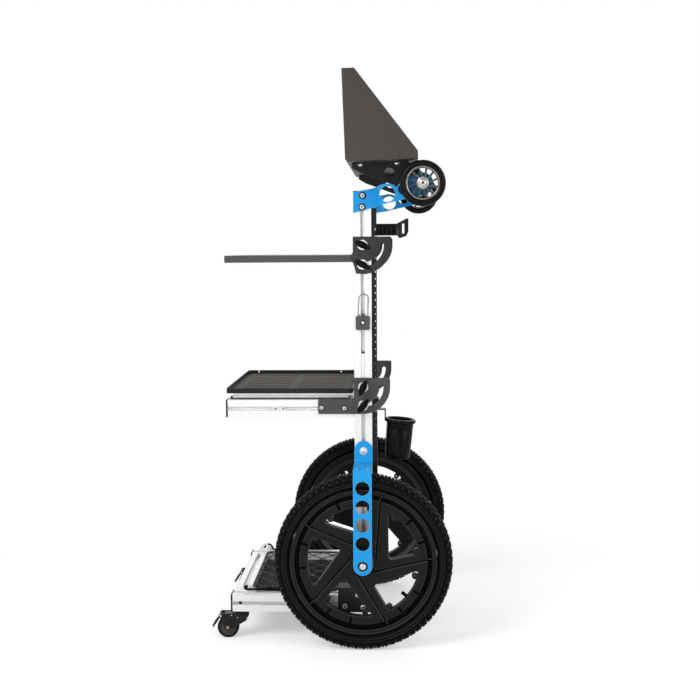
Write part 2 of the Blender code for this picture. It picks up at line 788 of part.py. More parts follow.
def small_rim():
    """Spoked metal hub of a small wheel."""
    outer = SMALL_RIM_RADIUS
    inner = outer - SMALL_RIM_WALL
    core = SMALL_HUB_RADIUS
    bore = SMALL_AXLE_RADIUS + FIT
    loops = [circle((0.0, 0.0), outer, SMALL_SEGMENTS), circle((0.0, 0.0), bore + 0.001, 12)]
    for i in range(SMALL_SPOKES):
        middle = 360.0 / SMALL_SPOKES * (i + 0.5) + 8.0
        wide = 180.0 / SMALL_SPOKES - SMALL_SPOKE / inner * 90.0 / pi
        narrow = 180.0 / SMALL_SPOKES - SMALL_SPOKE / core * 90.0 / pi
        loops.append(arc((0.0, 0.0), inner, middle - wide, middle + wide, 1)
                     + arc((0.0, 0.0), core, middle + narrow, middle - narrow, 1))
    web = prism(loops, SMALL_WIDTH - 0.008, "Y")
    end = SMALL_WIDTH / 2 + 0.002
    hub = turned([(bore, -end), (core - 0.002, -end), (core - 0.002, end), (bore, end)], segments=12,
                 closed=True)
    return fuse(web, hub)


def small_tyre():
    crown = SMALL_DIAMETER / 2
    seat = SMALL_RIM_RADIUS + FIT
    belly = SMALL_WIDTH / 2
    section = [(seat, -belly + 0.002), (crown - 0.008, -belly), (crown, -belly * 0.45),
               (crown, belly * 0.45), (crown - 0.008, belly), (seat, belly - 0.002)]
    return turned(section, segments=32, closed=True)


small_rim_mesh = small_rim()
small_tyre_mesh = small_tyre()
for label, side in SIDES:
    piece(f"top_arm_{label}", top_arm(side), blue)
    piece(f"small_axle_{label}", small_axle(side), steel, (SMALL_AXLE_X, 0.0, SMALL_AXLE_Z))
    small_pivot = pivot(f"small_axis_{label}", (SMALL_AXLE_X, side * SMALL_WHEEL_Y, SMALL_AXLE_Z))
    turn = 0.0 if side < 0 else 180.0
    piece(f"small_rim_{label}", copied(small_rim_mesh), hub_metal, parent=small_pivot, turn=turn)
    piece(f"small_tyre_{label}", copied(small_tyre_mesh), rubber, parent=small_pivot, turn=turn)


# Console: a sloped sheet box, open to the operator, on two brackets that tilt on the small axles

console = pivot("console_axis", (SMALL_AXLE_X, 0.0, SMALL_AXLE_Z))
console.rotation_euler = (0.0, -radians(CONSOLE_TILT), 0.0)


def console_outline(inset, opened):
    """Side of the box about the small axle; opened pushes the sloped face outwards."""
    front = -CONSOLE_FRONT - inset
    back = -CONSOLE_FRONT - CONSOLE_DEPTH + inset
    floor = CONSOLE_BASE + inset
    top = CONSOLE_BASE + CONSOLE_HEIGHT - inset
    lip = CONSOLE_BASE + CONSOLE_LIP
    shoulder = -CONSOLE_FRONT - CONSOLE_DEPTH + CONSOLE_TOP_DEPTH
    run = front - shoulder
    drop = top - lip
    slope = hypot(run, drop)
    if not opened:
        return [(front, floor), (front, lip), (shoulder, top), (back, top), (back, floor + 0.005),
                (back + 0.004, floor)]
    out = 0.03
    push = (drop / slope * out, run / slope * out)
    along = (run / slope * inset, drop / slope * inset)
    lower = (front - along[0], lip + along[1])
    upper = (shoulder + along[0], top - along[1])
    return [(front, floor), lower, (lower[0] + push[0], lower[1] + push[1]),
            (upper[0] + push[0], upper[1] + push[1]),
            upper, (back + 0.004, top), (back, top - 0.004), (back, floor + 0.004), (back + 0.004, floor)]


def ease_floor(mesh, size):
    """Chamfers the edges round the lowest face, as the bends inside a folded box do."""
    bm = bmesh.new()
    bm.from_mesh(mesh)
    bmesh.ops.dissolve_limit(bm, angle_limit=0.01, verts=bm.verts, edges=bm.edges)
    floor = min(bm.faces, key=lambda face: face.calc_center_median().z)
    bmesh.ops.bevel(bm, geom=list(floor.edges), offset=size, affect="EDGES", segments=1, profile=0.5,
                    material=-1)
    bmesh.ops.triangulate(bm, faces=bm.faces)
    bm.to_mesh(mesh)
    bm.free()


def console_box():
    shell = prism([console_outline(0.0, False)], CONSOLE_WIDTH, "Y")
    hollow = prism([console_outline(CONSOLE_SHEET, True)], CONSOLE_WIDTH - 2 * CONSOLE_SHEET, "Y")
    ease_floor(hollow, CONSOLE_FILLET)
    mesh = cut(shell, hollow)
    front = -CONSOLE_FRONT
    shoulder = front - CONSOLE_DEPTH + CONSOLE_TOP_DEPTH
    lip = CONSOLE_BASE + CONSOLE_LIP
    top = CONSOLE_BASE + CONSOLE_HEIGHT
    run = front - shoulder
    drop = top - lip
    length = hypot(run, drop)
    lean = atan2(run, drop) * 180.0 / pi
    width = 0.018
    for side in (-1, 1):
        ear = box((0.002, width, length - 0.006),
                  (-0.0025, side * (CONSOLE_WIDTH / 2 - width / 2 - 0.001), 0.0))
        ear = moved(rotated(ear, -lean, "Y"), (front + shoulder) / 2, 0.0, (lip + top) / 2)
        mesh = fuse(mesh, ear)
    return mesh


def console_bracket(side):
    """Plate from the box down to the small axle, with a flange turned outwards under the box."""
    top = CONSOLE_BASE - FIT
    slope = radians(-22.5)
    tangent = (BRACKET_BOSS * sin(slope), -BRACKET_BOSS * cos(slope))
    back = -CONSOLE_FRONT - CONSOLE_DEPTH + BRACKET_BACK_INSET
    front = -CONSOLE_FRONT - BRACKET_FRONT_INSET
    lower_x = back + 0.017
    lower_z = tangent[1] + (lower_x - tangent[0]) * tan(slope)
    boss = arc((0.0, 0.0), BRACKET_BOSS, -90.0 - 22.5, 40.0, 12)
    outline = [(front, top), (back, top), (back, top - 0.010), (lower_x, lower_z)] + boss
    holes = [circle((-0.072, 0.0285), 0.0118, 14), circle((0.0, 0.0), SMALL_AXLE_RADIUS + FIT, 12)]
    plate = moved(prism([outline] + holes, BRACKET_SHEET, "Y"), y=side * (BRACKET_Y + BRACKET_SHEET / 2))
    start = side * (BRACKET_Y + 0.001)
    end = side * (BRACKET_Y + BRACKET_FLANGE)
    flange = span(back + 0.0005, front - 0.0005, min(start, end), max(start, end), top - BRACKET_SHEET,
                  top - 0.0002)
    return fuse(plate, flange)


piece("console_box", console_box(), console_grey, parent=console)
for label, side in SIDES:
    piece(f"console_bracket_{label}", console_bracket(side), black_sheet, parent=console)


# Upper shelf: folded sheet whose sides run back into sector plates outside the uprights

upper = pivot("upper_shelf_axis", (0.0, 0.0, SHELF_PIVOT_Z))


def upper_side():
    """Side sheet: the shelf's edge and the sector with its arc slot, about the pivot."""
    back = -FACE - 0.0015
    edge_top = -SHELF_DROP - 0.0002
    edge_bottom = -SHELF_DROP - SHELF_FLANGE
    foot = -102.8
    arc_points = arc((0.0, 0.0), SECTOR_RADIUS, foot, -5.0, 10)
    outline = [(-SHELF_REACH, edge_bottom), (back, edge_bottom)] + arc_points
    outline += [(SECTOR_RADIUS, SECTOR_TOP), (back, SECTOR_TOP), (back, edge_top), (-SHELF_REACH, edge_top)]
    count = len(arc_points)
    radii = [0.003, 0.004] + [0.0] * count + [0.004, 0.003, 0.007, 0.001]
    slot = arc_slot((0.0, 0.0), SLOT_RADIUS, SLOT_WIDTH, 1.0, -91.0)
    return [rounded(outline, radii, 2), slot, circle((0.0, 0.0), STUD_RADIUS + FIT, 12)]


def upper_shelf():
    """The panel, its turned-down edges and both side sheets, as one bent and welded sheet."""
    front = -SHELF_REACH
    back = -FACE - UPRIGHT_CLEARANCE
    skin = SHELF_SKIN + SIDE_SHEET / 2
    cage = bpy.data.meshes.new("panel")
    bm = bmesh.new()
    depth = SHELF_FLANGE
    place = Matrix.Translation(((front + back) / 2, 0.0, -SHELF_DROP - depth / 2))
    place = place @ Matrix.Diagonal((back - front, 2 * skin, depth, 1.0))
    bmesh.ops.create_cube(bm, size=1.0, matrix=place)
    floor = min(bm.faces, key=lambda face: face.calc_center_median().z)
    bmesh.ops.delete(bm, geom=[floor], context="FACES_ONLY")
    bm.to_mesh(cage)
    bm.free()
    panel = evaluate(cage,
                     [("SOLIDIFY", {"thickness": SHELF_SHEET, "offset": -1.0, "use_even_offset": True})])
    for side in (-1, 1):
        sheet = prism(upper_side(), SIDE_SHEET, "Y")
        panel = fuse(panel, moved(sheet, y=side * (SHELF_SKIN + SIDE_SHEET / 2)))
    return panel


piece("upper_shelf", upper_shelf(), black_sheet, parent=upper)


# Middle shelf: two side rails, the plates that carry them, a tie rail and the sliding tray

middle = pivot("middle_shelf_axis", (0.0, 0.0, MID_PIVOT_Z))
MID_RAIL_Z = MID_RAIL_TOP - PROFILE / 2 - MID_PIVOT_Z
MID_BACK = -FACE - UPRIGHT_CLEARANCE
TRAY_BASE = MID_RAIL_TOP + SLIDE_HEIGHT - MID_PIVOT_Z


def mid_rail():
    """Side rail with its front cap and the fixed half of the tray's slide on top."""
    length = MID_REACH + MID_BACK
    mesh = rail(length, "X", cap_ends=(-1,))
    height = SLIDE_HEIGHT / 2 - 0.0005
    sink = SLOT_DEPTH + 0.001
    foot = box((length - 0.040, SLOT_MOUTH - 2 * FIT, sink + 0.002), (0.0, 0.0, FACE - sink / 2 + 0.001))
    bar = box((length - 0.020, SLIDE_WIDTH, height), (0.0, 0.0, FACE + height / 2 + 0.0002))
    return fuse(mesh, fuse(foot, bar))


def mid_plate():
    """Plate with the arm along the rail and the sector about the pivot."""
    back = -FACE - 0.0006
    arm_bottom = -MID_SECTOR_RADIUS
    arm_top = arm_bottom + MID_ARM_HEIGHT
    arc_points = arc((0.0, 0.0), MID_SECTOR_RADIUS, -90.0, -4.0, 9)
    outline = [(-MID_ARM, arm_bottom)] + arc_points
    outline += [(MID_SECTOR_RADIUS, MID_SECTOR_TOP), (back, MID_SECTOR_TOP), (back, arm_top),
                (-MID_ARM, arm_top)]
    radii = [0.002] + [0.0] * len(arc_points) + [0.004, 0.003, 0.006, 0.002]
    slot = arc_slot((0.0, 0.0), MID_SLOT_RADIUS, SLOT_WIDTH, 1.0, -91.0)
    return prism([rounded(outline, radii, 2), slot, circle((0.0, 0.0), STUD_RADIUS + FIT, 12)], SIDE_SHEET,
                 "Y")


def tray():
    """Tray with a low rim, slots in its floor and the moving half of the slides below."""
    front = -TRAY_FRONT
    back = MID_BACK - 0.001
    middle_x = (front + back) / 2
    length = back - front
    half_x = length / 2
    half_y = HALF - 0.001

    def rectangle(inset, radius):
        a = half_x - inset
        b = half_y - inset
        return rounded([(-a, -b), (a, -b), (a, b), (-a, b)], radius, 3)

    rim = prism([rectangle(0.0, TRAY_CORNER), rectangle(TRAY_SHEET, TRAY_CORNER - TRAY_SHEET)],
                TRAY_HEIGHT, "Z")
    rim = moved(rim, z=TRAY_HEIGHT / 2)
    slots = []
    pitch = 2 * (half_y - 0.025) / TRAY_SLOTS
    for column in (-1, 1):
        centre = column * (TRAY_SLOT_LENGTH / 2 + 0.010)
        for row in range(TRAY_SLOTS):
            y = (row - (TRAY_SLOTS - 1) / 2) * pitch
            a = TRAY_SLOT_LENGTH / 2
            b = TRAY_SLOT_WIDTH / 2
            slots.append([(centre - a, y - b), (centre + a, y - b), (centre + a, y + b),
                          (centre - a, y + b)])
    floor = prism([rectangle(0.001, TRAY_CORNER - 0.001)] + slots, TRAY_SHEET, "Z")
    mesh = fuse(rim, moved(floor, z=TRAY_SHEET / 2 + 0.0002))
    height = SLIDE_HEIGHT / 2 - FIT
    for side in (-1, 1):
        runner = box((length - 0.030, SLIDE_WIDTH, height + 0.001),
                     (0.0, side * RAIL_Y, 0.0005 - height / 2))
        mesh = fuse(mesh, runner)
    return moved(mesh, middle_x)


for label, side in SIDES:
    piece(f"mid_rail_{label}", mid_rail(), aluminium,
          ((MID_BACK - MID_REACH) / 2, side * RAIL_Y, MID_RAIL_Z), middle)
    piece(f"mid_plate_{label}", mid_plate(), black_sheet, (0.0, side * (SHELF_SKIN + SIDE_SHEET / 2), 0.0),
          middle)
tie_x = MID_BACK - 0.060
piece("mid_cross_rail", rail(inner_span, "Y"), aluminium, (tie_x, 0.0, MID_RAIL_Z), middle)
slide = pivot("tray_axis", (0.0, 0.0, TRAY_BASE), middle)
piece("tray", tray(), black_sheet, parent=slide)


# Wing knobs: a pivot knob and a clamp knob at each side of each shelf

def wing_knob(side, tilt):
    """Knob with a lens-shaped wing, washer and the stud that reaches into the upright's slot."""
    bow = (KNOB_LENGTH ** 2 + KNOB_WIDTH ** 2) / (4 * KNOB_WIDTH)
    spread = atan2(KNOB_LENGTH / 2, bow - KNOB_WIDTH / 2) * 180.0 / pi
    lens = arc((-bow + KNOB_WIDTH / 2, 0.0), bow, -spread, spread, 4)
    lens += arc((bow - KNOB_WIDTH / 2, 0.0), bow, 180.0 - spread, 180.0 + spread, 4)[1:-1]
    wing_start = KNOB_SEAT + WASHER + KNOB_STEM
    wing = moved(prism([lens], KNOB_WING, "Y"), y=side * (wing_start + KNOB_WING / 2 - 0.0005))
    wing = rotated(wing, 90.0 - tilt, "Y")
    hub = KNOB_WIDTH / 2 - 0.0004
    steps = [(0.0, HALF - STUD_REACH), (STUD_RADIUS, HALF - STUD_REACH), (STUD_RADIUS, KNOB_SEAT),
             (WASHER_RADIUS, KNOB_SEAT), (WASHER_RADIUS, KNOB_SEAT + WASHER), (hub, KNOB_SEAT + WASHER),
             (hub * 0.8, wing_start + 0.002), (0.0, wing_start + 0.002)]
    stem = turned([(radius, side * along) for radius, along in steps], segments=8)
    return fuse(stem, wing)


KNOBS = (("upper_pivot", SHELF_PIVOT_Z, -28.0), ("upper_clamp", SHELF_PIVOT_Z - SLOT_RADIUS, -30.0),
         ("middle_pivot", MID_PIVOT_Z, 65.0), ("middle_clamp", MID_PIVOT_Z - MID_SLOT_RADIUS, 52.0))
for place, height, tilt in KNOBS:
    for label, side in SIDES:
        piece(f"knob_{place}_{label}", wing_knob(side, tilt), black_plastic, (0.0, 0.0, height))


# Bottom platform

def platform_rail():
    """Side rail with its front cap and the ear that the cargo net hooks into."""
    length = PLATFORM_REACH - FACE - FIT
    mesh = rail(length, "X", cap_ends=(-1,))
    half = EAR_LENGTH / 2
    height = EAR_HEIGHT
    outline = [(-half, -0.002), (-half, 0.004), (-0.003, height), (0.003, height), (half, 0.006),
               (half, -0.002)]
    outline = rounded(outline, [0.0, 0.002, 0.005, 0.005, 0.002, 0.0], 2)
    ear = prism([outline, circle((0.0, height * 0.6), EAR_HOLE, 12)], EAR_SHEET, "Y")
    ear_x = -length / 2 + EAR_SETBACK
    foot = box((EAR_LENGTH - 0.001, 0.012, 0.002), (ear_x, 0.0, FACE + 0.0005))
    ear = fuse(moved(ear, ear_x, 0.0, FACE), foot)
    return fuse(mesh, ear)


def cargo_net():
    """Elastic net in a frame of cord, with two hooks in the ears."""
    back = -FACE - REAR_BLOCK_LENGTH - 0.004
    front = -(PLATFORM_REACH - PROFILE) - 0.002
    half_x = (back - front) / 2
    half_y = HALF - PROFILE + 0.010
    border = NET_CORD
    cell_x = 2 * (half_x - border) / NET_COLUMNS
    cell_y = 2 * (half_y - border) / NET_ROWS
    strand = NET_CORD * 0.5
    inset_x = strand / 2 * hypot(cell_x, cell_y) / cell_y
    inset_y = strand / 2 * hypot(cell_x, cell_y) / cell_x
    loops = [[(-half_x, -half_y), (half_x, -half_y), (half_x, half_y), (-half_x, half_y)]]
    for column in range(2 * NET_COLUMNS + 1):
        for row in range(2 * NET_ROWS + 1):
            if (column + row) % 2 == 0:
                continue
            x = -half_x + border + column * cell_x / 2
            y = -half_y + border + row * cell_y / 2
            a = cell_x / 2 - inset_x
            b = cell_y / 2 - inset_y
            points = []
            for dx, dy in ((-a, 0.0), (0.0, -b), (a, 0.0), (0.0, b)):
                inside_x = abs(x + dx) < half_x - border + 0.0001
                inside_y = abs(y + dy) < half_y - border + 0.0001
                if inside_x and inside_y:
                    points.append((x + dx, y + dy))
            loops.append(points)
    mesh = prism(loops, NET_THICKNESS, "Z")
    middle_x = (front + back) / 2
    level = RAIL_TOP + FIT + NET_THICKNESS / 2
    mesh = moved(mesh, middle_x, 0.0, level)
    ear_x = -PLATFORM_REACH + EAR_SETBACK
    hole_z = RAIL_TOP + EAR_HEIGHT * 0.6
    for side in (-1, 1):
        corner_x = front + 0.004
        route = [(corner_x, side * (half_y - 0.002), level),
                 (ear_x + 0.003, side * (half_y + 0.001), hole_z - 0.002),
                 (ear_x, side * (RAIL_Y + 0.004), hole_z - 0.001), (ear_x, side * (RAIL_Y + 0.006),
                                                                    hole_z - 0.007)]
        mesh = fuse(mesh, tube(route, 0.0016))
    return mesh


def rear_bracket(side):
    """Corner block on the rail against the upright, with the plate that ties rail and upright."""
    block_end = -FACE - FIT
    block_start = block_end - REAR_BLOCK_LENGTH
    outer = HALF + FIT + REAR_PLATE_SHEET
    low = HALF - PROFILE + 0.001
    block = span(block_start, block_end, low, outer - 0.0002, RAIL_TOP + FIT,
                 RAIL_TOP + FIT + REAR_BLOCK_HEIGHT)
    plate = span(block_start, block_start + REAR_PLATE_LENGTH, HALF + FIT, outer, CASTER_HEIGHT + 0.001,
                 RAIL_TOP - 0.004)
    web = span(block_start + 0.0002, block_end - 0.001, HALF + FIT, outer - 0.0015, RAIL_TOP - 0.006,
               RAIL_TOP + 0.004)
    mesh = fuse(plate, web, block)
    if side < 0:
        mesh.transform(Matrix.Scale(-1.0, 4, Vector((0.0, 1.0, 0.0))))
        mesh.flip_normals()
    return mesh


rail_length = PLATFORM_REACH - FACE - FIT
for label, side in SIDES:
    piece(f"platform_rail_{label}", platform_rail(), aluminium,
          (-PLATFORM_REACH + rail_length / 2, side * RAIL_Y, RAIL_MIDDLE))
    piece(f"rear_bracket_{label}", rear_bracket(side), black_plastic)
piece("platform_front_rail", rail(inner_span, "Y"), aluminium,
      (-PLATFORM_REACH + PROFILE / 2, 0.0, RAIL_MIDDLE))
floor_front = -PLATFORM_REACH + PROFILE - FLOOR_EDGE
floor_back = -FACE - FIT
floor_half = HALF - PROFILE + FLOOR_EDGE
piece("floor_panel", box((floor_back - floor_front, 2 * floor_half, FLOOR_THICKNESS)), deck,
      ((floor_front + floor_back) / 2, 0.0, RAIL_MIDDLE))
piece("cargo_net", cargo_net(), elastic)


# Casters: top plate, swivelling fork, wheel and brake pedal

def caster_plate():
    plate = box((CASTER_PLATE_LENGTH, CASTER_PLATE_WIDTH, CASTER_PLATE),
                (0.0, 0.0, -CASTER_PLATE / 2 - FIT))
    race = drum(CASTER_HEAD - 0.002, 0.003, "Z", (0.0, 0.0, -CASTER_PLATE - 0.001), 20)
    return fuse(plate, race)


def caster_fork():
    """Swivel head, two cheeks and the wheel pin, about the swivel axis."""
    head_top = CASTER_HEIGHT - CASTER_PLATE - 0.0025 - 2 * FIT
    wheel_top = CASTER_WHEEL + 0.001
    head = drum(CASTER_HEAD, head_top - wheel_top, "Z", (0.0, 0.0, (head_top + wheel_top) / 2), 20)
    gap = CASTER_WHEEL_WIDTH / 2 + RUN
    axle = (-CASTER_TRAIL, CASTER_WHEEL / 2)
    hinge = (PEDAL_PIVOT_X - CASTER_X, PEDAL_PIVOT_Z)
    outline = [(CASTER_HEAD - 0.004, head_top - 0.001), (hinge[0], head_top - 0.001)]
    outline += arc(hinge, 0.0048, 110.0, 250.0, 4)
    outline += arc(axle, 0.008, 170.0, 330.0, 5)
    outline += [(CASTER_HEAD - 0.004, wheel_top - 0.008)]
    mesh = head
    for side in (-1, 1):
        cheek = moved(prism([outline], FORK_SHEET, "Y"), y=side * (gap + FORK_SHEET / 2))
        mesh = fuse(mesh, cheek)
    bridge_x = -CASTER_TRAIL - 0.008
    bridge = span(bridge_x, 0.0, -gap - 0.001, gap + 0.001, wheel_top, head_top - 0.0015)
    pin = drum(CASTER_PIN, 2 * gap + FORK_SHEET, "Y", (axle[0], 0.0, axle[1]), 10)
    return fuse(mesh, bridge, pin)


def caster_wheel():
    radius = CASTER_WHEEL / 2
    half = CASTER_WHEEL_WIDTH / 2
    bore = CASTER_PIN + FIT
    section = [(bore, -half), (radius - 0.002, -half), (radius, -half + 0.002),
               (radius, half - 0.002), (radius - 0.002, half), (bore, half)]
    return turned(section, segments=24, closed=True)


def brake_pedal():
    """Flap that slopes down past the wheel, with a hinge barrel at its top."""
    flap = box((PEDAL_LENGTH, PEDAL_WIDTH - 0.001, PEDAL_SHEET), (-PEDAL_LENGTH / 2, 0.0, 0.0))
    barrel = drum(0.0032, PEDAL_WIDTH, "Y", segments=10)
    return rotated(fuse(flap, barrel), -PEDAL_SLOPE, "Y")


for label, side in SIDES:
    place = (CASTER_X, side * RAIL_Y, CASTER_HEIGHT)
    piece(f"caster_plate_{label}", caster_plate(), black_plastic, place)
    swivel = pivot(f"caster_swivel_{label}", (CASTER_X, side * RAIL_Y, 0.0))
    piece(f"caster_fork_{label}", caster_fork(), black_plastic, parent=swivel)
    roll = pivot(f"caster_axis_{label}", (-CASTER_TRAIL, 0.0, CASTER_WHEEL / 2), swivel)
    piece(f"caster_wheel_{label}", caster_wheel(), rubber, parent=roll)
    hinge = pivot(f"pedal_axis_{label}", (PEDAL_PIVOT_X - CASTER_X, 0.0, PEDAL_PIVOT_Z), swivel)
    piece(f"brake_pedal_{label}", brake_pedal(), black_plastic, parent=hinge)


# Pole cup on a strap, and pole clip above it

def pole_cup():
    rim_radius = CUP_RADIUS + CUP_RIM
    steps = [(0.0, -CUP_LENGTH), (CUP_BOTTOM_RADIUS - 0.003, -CUP_LENGTH),
             (CUP_BOTTOM_RADIUS, -CUP_LENGTH + 0.003),
             (CUP_RADIUS, -CUP_RIM_HEIGHT), (rim_radius, -CUP_RIM_HEIGHT), (rim_radius, -0.003),
             (rim_radius - 0.003, 0.0), (CUP_RADIUS - CUP_WALL, 0.0),
             (CUP_BOTTOM_RADIUS - CUP_WALL, -CUP_LENGTH + 0.005), (0.0, -CUP_LENGTH + 0.005)]
    cup = turned(steps, axis="Z", segments=20)
    cup = moved(rotated(cup, CUP_LEAN, "Y"), CUP_X, 0.0, CUP_TOP)
    tab_x = RACK_REAR + FIT + STRAP_SHEET / 2
    drop_x = CUP_X - rim_radius + STRAP_SHEET / 2 - 0.001
    path = rounded([(tab_x, STRAP_TOP + STRAP_TAB), (tab_x, STRAP_TOP - STRAP_SHEET / 2),
                    (drop_x, STRAP_TOP - STRAP_SHEET / 2), (drop_x, CUP_TOP - CUP_RIM_HEIGHT / 2)],
                   0.004, 2, closed=False)
    strap = bent_sheet(path, STRAP_SHEET, STRAP_WIDTH, "Y")
    return fuse(cup, strap)


def pole_clip():
    """Ribbed rubber grip and the flared end frame with its slot."""
    start = RACK_REAR + FIT
    end = start + CLIP_BODY
    base = CLIP_BASE_Z
    top = base + CLIP_HEIGHT
    pitch = CLIP_BODY / CLIP_SCALLOPS
    crest = []
    for i in range(CLIP_SCALLOPS):
        x = start + (i + 0.5) * pitch
        crest += [(x - pitch * 0.45, top - 0.0018), (x - pitch * 0.22, top), (x + pitch * 0.22, top),
                  (x + pitch * 0.45, top - 0.0018)]
    outline = [(start, base)] + [(start, top - 0.002)] + crest
    outline += [(end + 0.003, top + 0.001), (end + 0.021, top + 0.0105), (end + 0.0255, top + 0.0105),
                (end + 0.0255, base + 0.010), (end + 0.021, base - 0.001), (end + 0.005,
                                                                            base - 0.0065), (end, base)]
    slot = [(end + 0.011, base + 0.0045), (end + 0.016, base + 0.0045), (end + 0.016, top - 0.001),
            (end + 0.011, top - 0.001)]
    return prism([outline, slot], CLIP_THICKNESS, "Y")


piece("pole_cup", pole_cup(), black_plastic, (0.0, -RAIL_Y, 0.0))
piece("pole_clip", pole_clip(), rubber, (0.0, -RAIL_Y, 0.0))


# Hook block and wire loop on the left upright

BLOCK_BACK = HALF + FIT
BLOCK_FACE = BLOCK_BACK + BLOCK_THICKNESS
LOOP_Y = BLOCK_BACK + BLOCK_THICKNESS / 2
LOOP_Z = BLOCK_Z + BLOCK_SIZE / 2 + WIRE_RADIUS + RUN


def hook_block():
    """Block with two lugs that carry the loop's cross wire."""
    half = BLOCK_SIZE / 2
    mesh = prism([rounded([(-half, -half), (half, -half), (half, half), (-half, half)], 0.003, 2)],
                 BLOCK_THICKNESS, "Y")
    bore = WIRE_RADIUS + FIT
    lug_z = half + WIRE_RADIUS + RUN
    lug = prism([rounded([(-0.0035, half - 0.001), (0.0035, half - 0.001), (0.0035, lug_z + 0.0035),
                          (-0.0035, lug_z + 0.0035)],
                         [0.0, 0.0, 0.003, 0.003], 3), circle((0.0, lug_z), bore, 10)], 0.006, "X")
    return fuse(mesh, lug)


def wire_loop():
    """Closed loop of wire: the cross wire on the axis and the bow above it."""
    half = LOOP_WIDTH / 2
    top = LOOP_HEIGHT
    bow = [(-half, 0.0, 0.0), (-half, 0.0, top - 0.010)]
    bow += [(-half + 0.010 - 0.010 * cos(radians(a)), 0.0, top - 0.010 + 0.010 * sin(radians(a)))
            for a in (30, 60, 90)]
    bow += [(half - 0.010 + 0.010 * sin(radians(a)), 0.0, top - 0.010 + 0.010 * cos(radians(a)))
            for a in (0, 30, 60)]
    bow += [(half, 0.0, top - 0.010), (half, 0.0, 0.0)]
    return tube(bow, WIRE_RADIUS, cyclic=True)


piece("hook_block", hook_block(), black_plastic, (0.0, -(BLOCK_BACK + BLOCK_THICKNESS / 2), BLOCK_Z))
piece("wire_loop", wire_loop(), steel, (0.0, -LOOP_Y, LOOP_Z))
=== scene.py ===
from math import atan2, cos, pi, radians, sin

import bmesh
import bpy
from mathutils import Matrix, Vector, geometry


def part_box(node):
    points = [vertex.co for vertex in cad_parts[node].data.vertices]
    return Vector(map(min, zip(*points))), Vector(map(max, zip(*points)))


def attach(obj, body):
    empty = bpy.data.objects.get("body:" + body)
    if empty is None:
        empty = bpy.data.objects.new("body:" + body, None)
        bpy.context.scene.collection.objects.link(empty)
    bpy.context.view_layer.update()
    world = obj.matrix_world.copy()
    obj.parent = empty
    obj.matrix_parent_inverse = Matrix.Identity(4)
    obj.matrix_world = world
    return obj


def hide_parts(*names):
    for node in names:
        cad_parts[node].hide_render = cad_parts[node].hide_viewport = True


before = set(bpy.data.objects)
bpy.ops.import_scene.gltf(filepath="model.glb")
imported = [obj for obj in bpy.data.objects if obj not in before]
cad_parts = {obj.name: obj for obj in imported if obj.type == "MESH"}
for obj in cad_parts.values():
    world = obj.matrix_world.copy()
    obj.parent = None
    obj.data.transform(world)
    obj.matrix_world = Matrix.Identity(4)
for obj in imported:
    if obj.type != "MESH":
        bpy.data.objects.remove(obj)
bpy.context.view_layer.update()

# Camera
# A long lens almost square to the cart's left side, a little higher than its middle and turned
# slightly down, as the photograph was taken. It is a square picture.
yaw, pitch, roll = 0.0434, 0.0873, -0.0067
ahead = Vector((-sin(yaw) * cos(pitch), cos(yaw) * cos(pitch), -sin(pitch)))
level_right = Vector((cos(yaw), sin(yaw), 0.0))
level_up = level_right.cross(ahead)
right = level_right * cos(roll) + level_up * sin(roll)
up = level_up * cos(roll) - level_right * sin(roll)
stand = Vector((0.1601, -2.7878, 0.897))
camera_data = bpy.data.cameras.new("camera")
camera_data.sensor_width = 36.0
camera_data.lens = 59.436
camera = bpy.data.objects.new("camera", camera_data)
bpy.context.scene.collection.objects.link(camera)
camera.matrix_world = Matrix(((right.x, up.x, -ahead.x, stand.x), (right.y, up.y, -ahead.y, stand.y),
                              (right.z, up.z, -ahead.z, stand.z), (0.0, 0.0, 0.0, 1.0)))
bpy.context.scene.camera = camera
bpy.context.scene.view_settings.view_transform = "Standard"


# Floor, backdrop and lamps
# A pale studio floor that keeps the cart's soft shadow and a white room, whose reflection is dimmer
# from the camera's end; a large lamp from the upper left, weaker ones right, behind and low down.
def add_node(tree, kind, inputs=(), **settings):
    """A new node with its settings; each input takes a value or another node's output."""
    made = tree.nodes.new(kind)
    for key, value in settings.items():
        setattr(made, key, value)
    for key, value in dict(inputs).items():
        socket = made.inputs[key]
        if isinstance(value, bpy.types.NodeSocket):
            tree.links.new(value, socket)
        else:
            socket.default_value = value
    return made


world = bpy.data.worlds.new("studio")
bpy.context.scene.world = world
world.use_nodes = True
tree = world.node_tree
tree.nodes.clear()
path = add_node(tree, "ShaderNodeLightPath")
seen = add_node(tree, "ShaderNodeMath", {0: path.outputs["Is Camera Ray"], 1: path.outputs["Is Glossy Ray"]},
                operation="MAXIMUM")
seen = add_node(tree, "ShaderNodeMath", {0: seen.outputs[0], 1: path.outputs["Is Transmission Ray"]},
                operation="MAXIMUM")
soft = add_node(tree, "ShaderNodeBackground", {"Color": (1.0, 0.995, 0.985, 1.0), "Strength": 0.50})
looking = add_node(tree, "ShaderNodeTexCoord")
parts = add_node(tree, "ShaderNodeSeparateXYZ", {"Vector": looking.outputs["Generated"]})
dimmer = add_node(tree, "ShaderNodeMapRange", {"Value": parts.outputs["Y"], "From Min": -0.75,
                                               "From Max": 0.15, "To Min": 0.30, "To Max": 1.0})
strength = add_node(tree, "ShaderNodeMath", {0: dimmer.outputs["Result"], 1: path.outputs["Is Camera Ray"]},
                    operation="MAXIMUM")
white = add_node(tree, "ShaderNodeBackground",
                 {"Color": (1.0, 1.0, 1.0, 1.0), "Strength": strength.outputs[0]})
mixed = add_node(tree, "ShaderNodeMixShader", {0: seen.outputs[0], 1: soft.outputs[0], 2: white.outputs[0]})
add_node(tree, "ShaderNodeOutputWorld", {"Surface": mixed.outputs[0]})

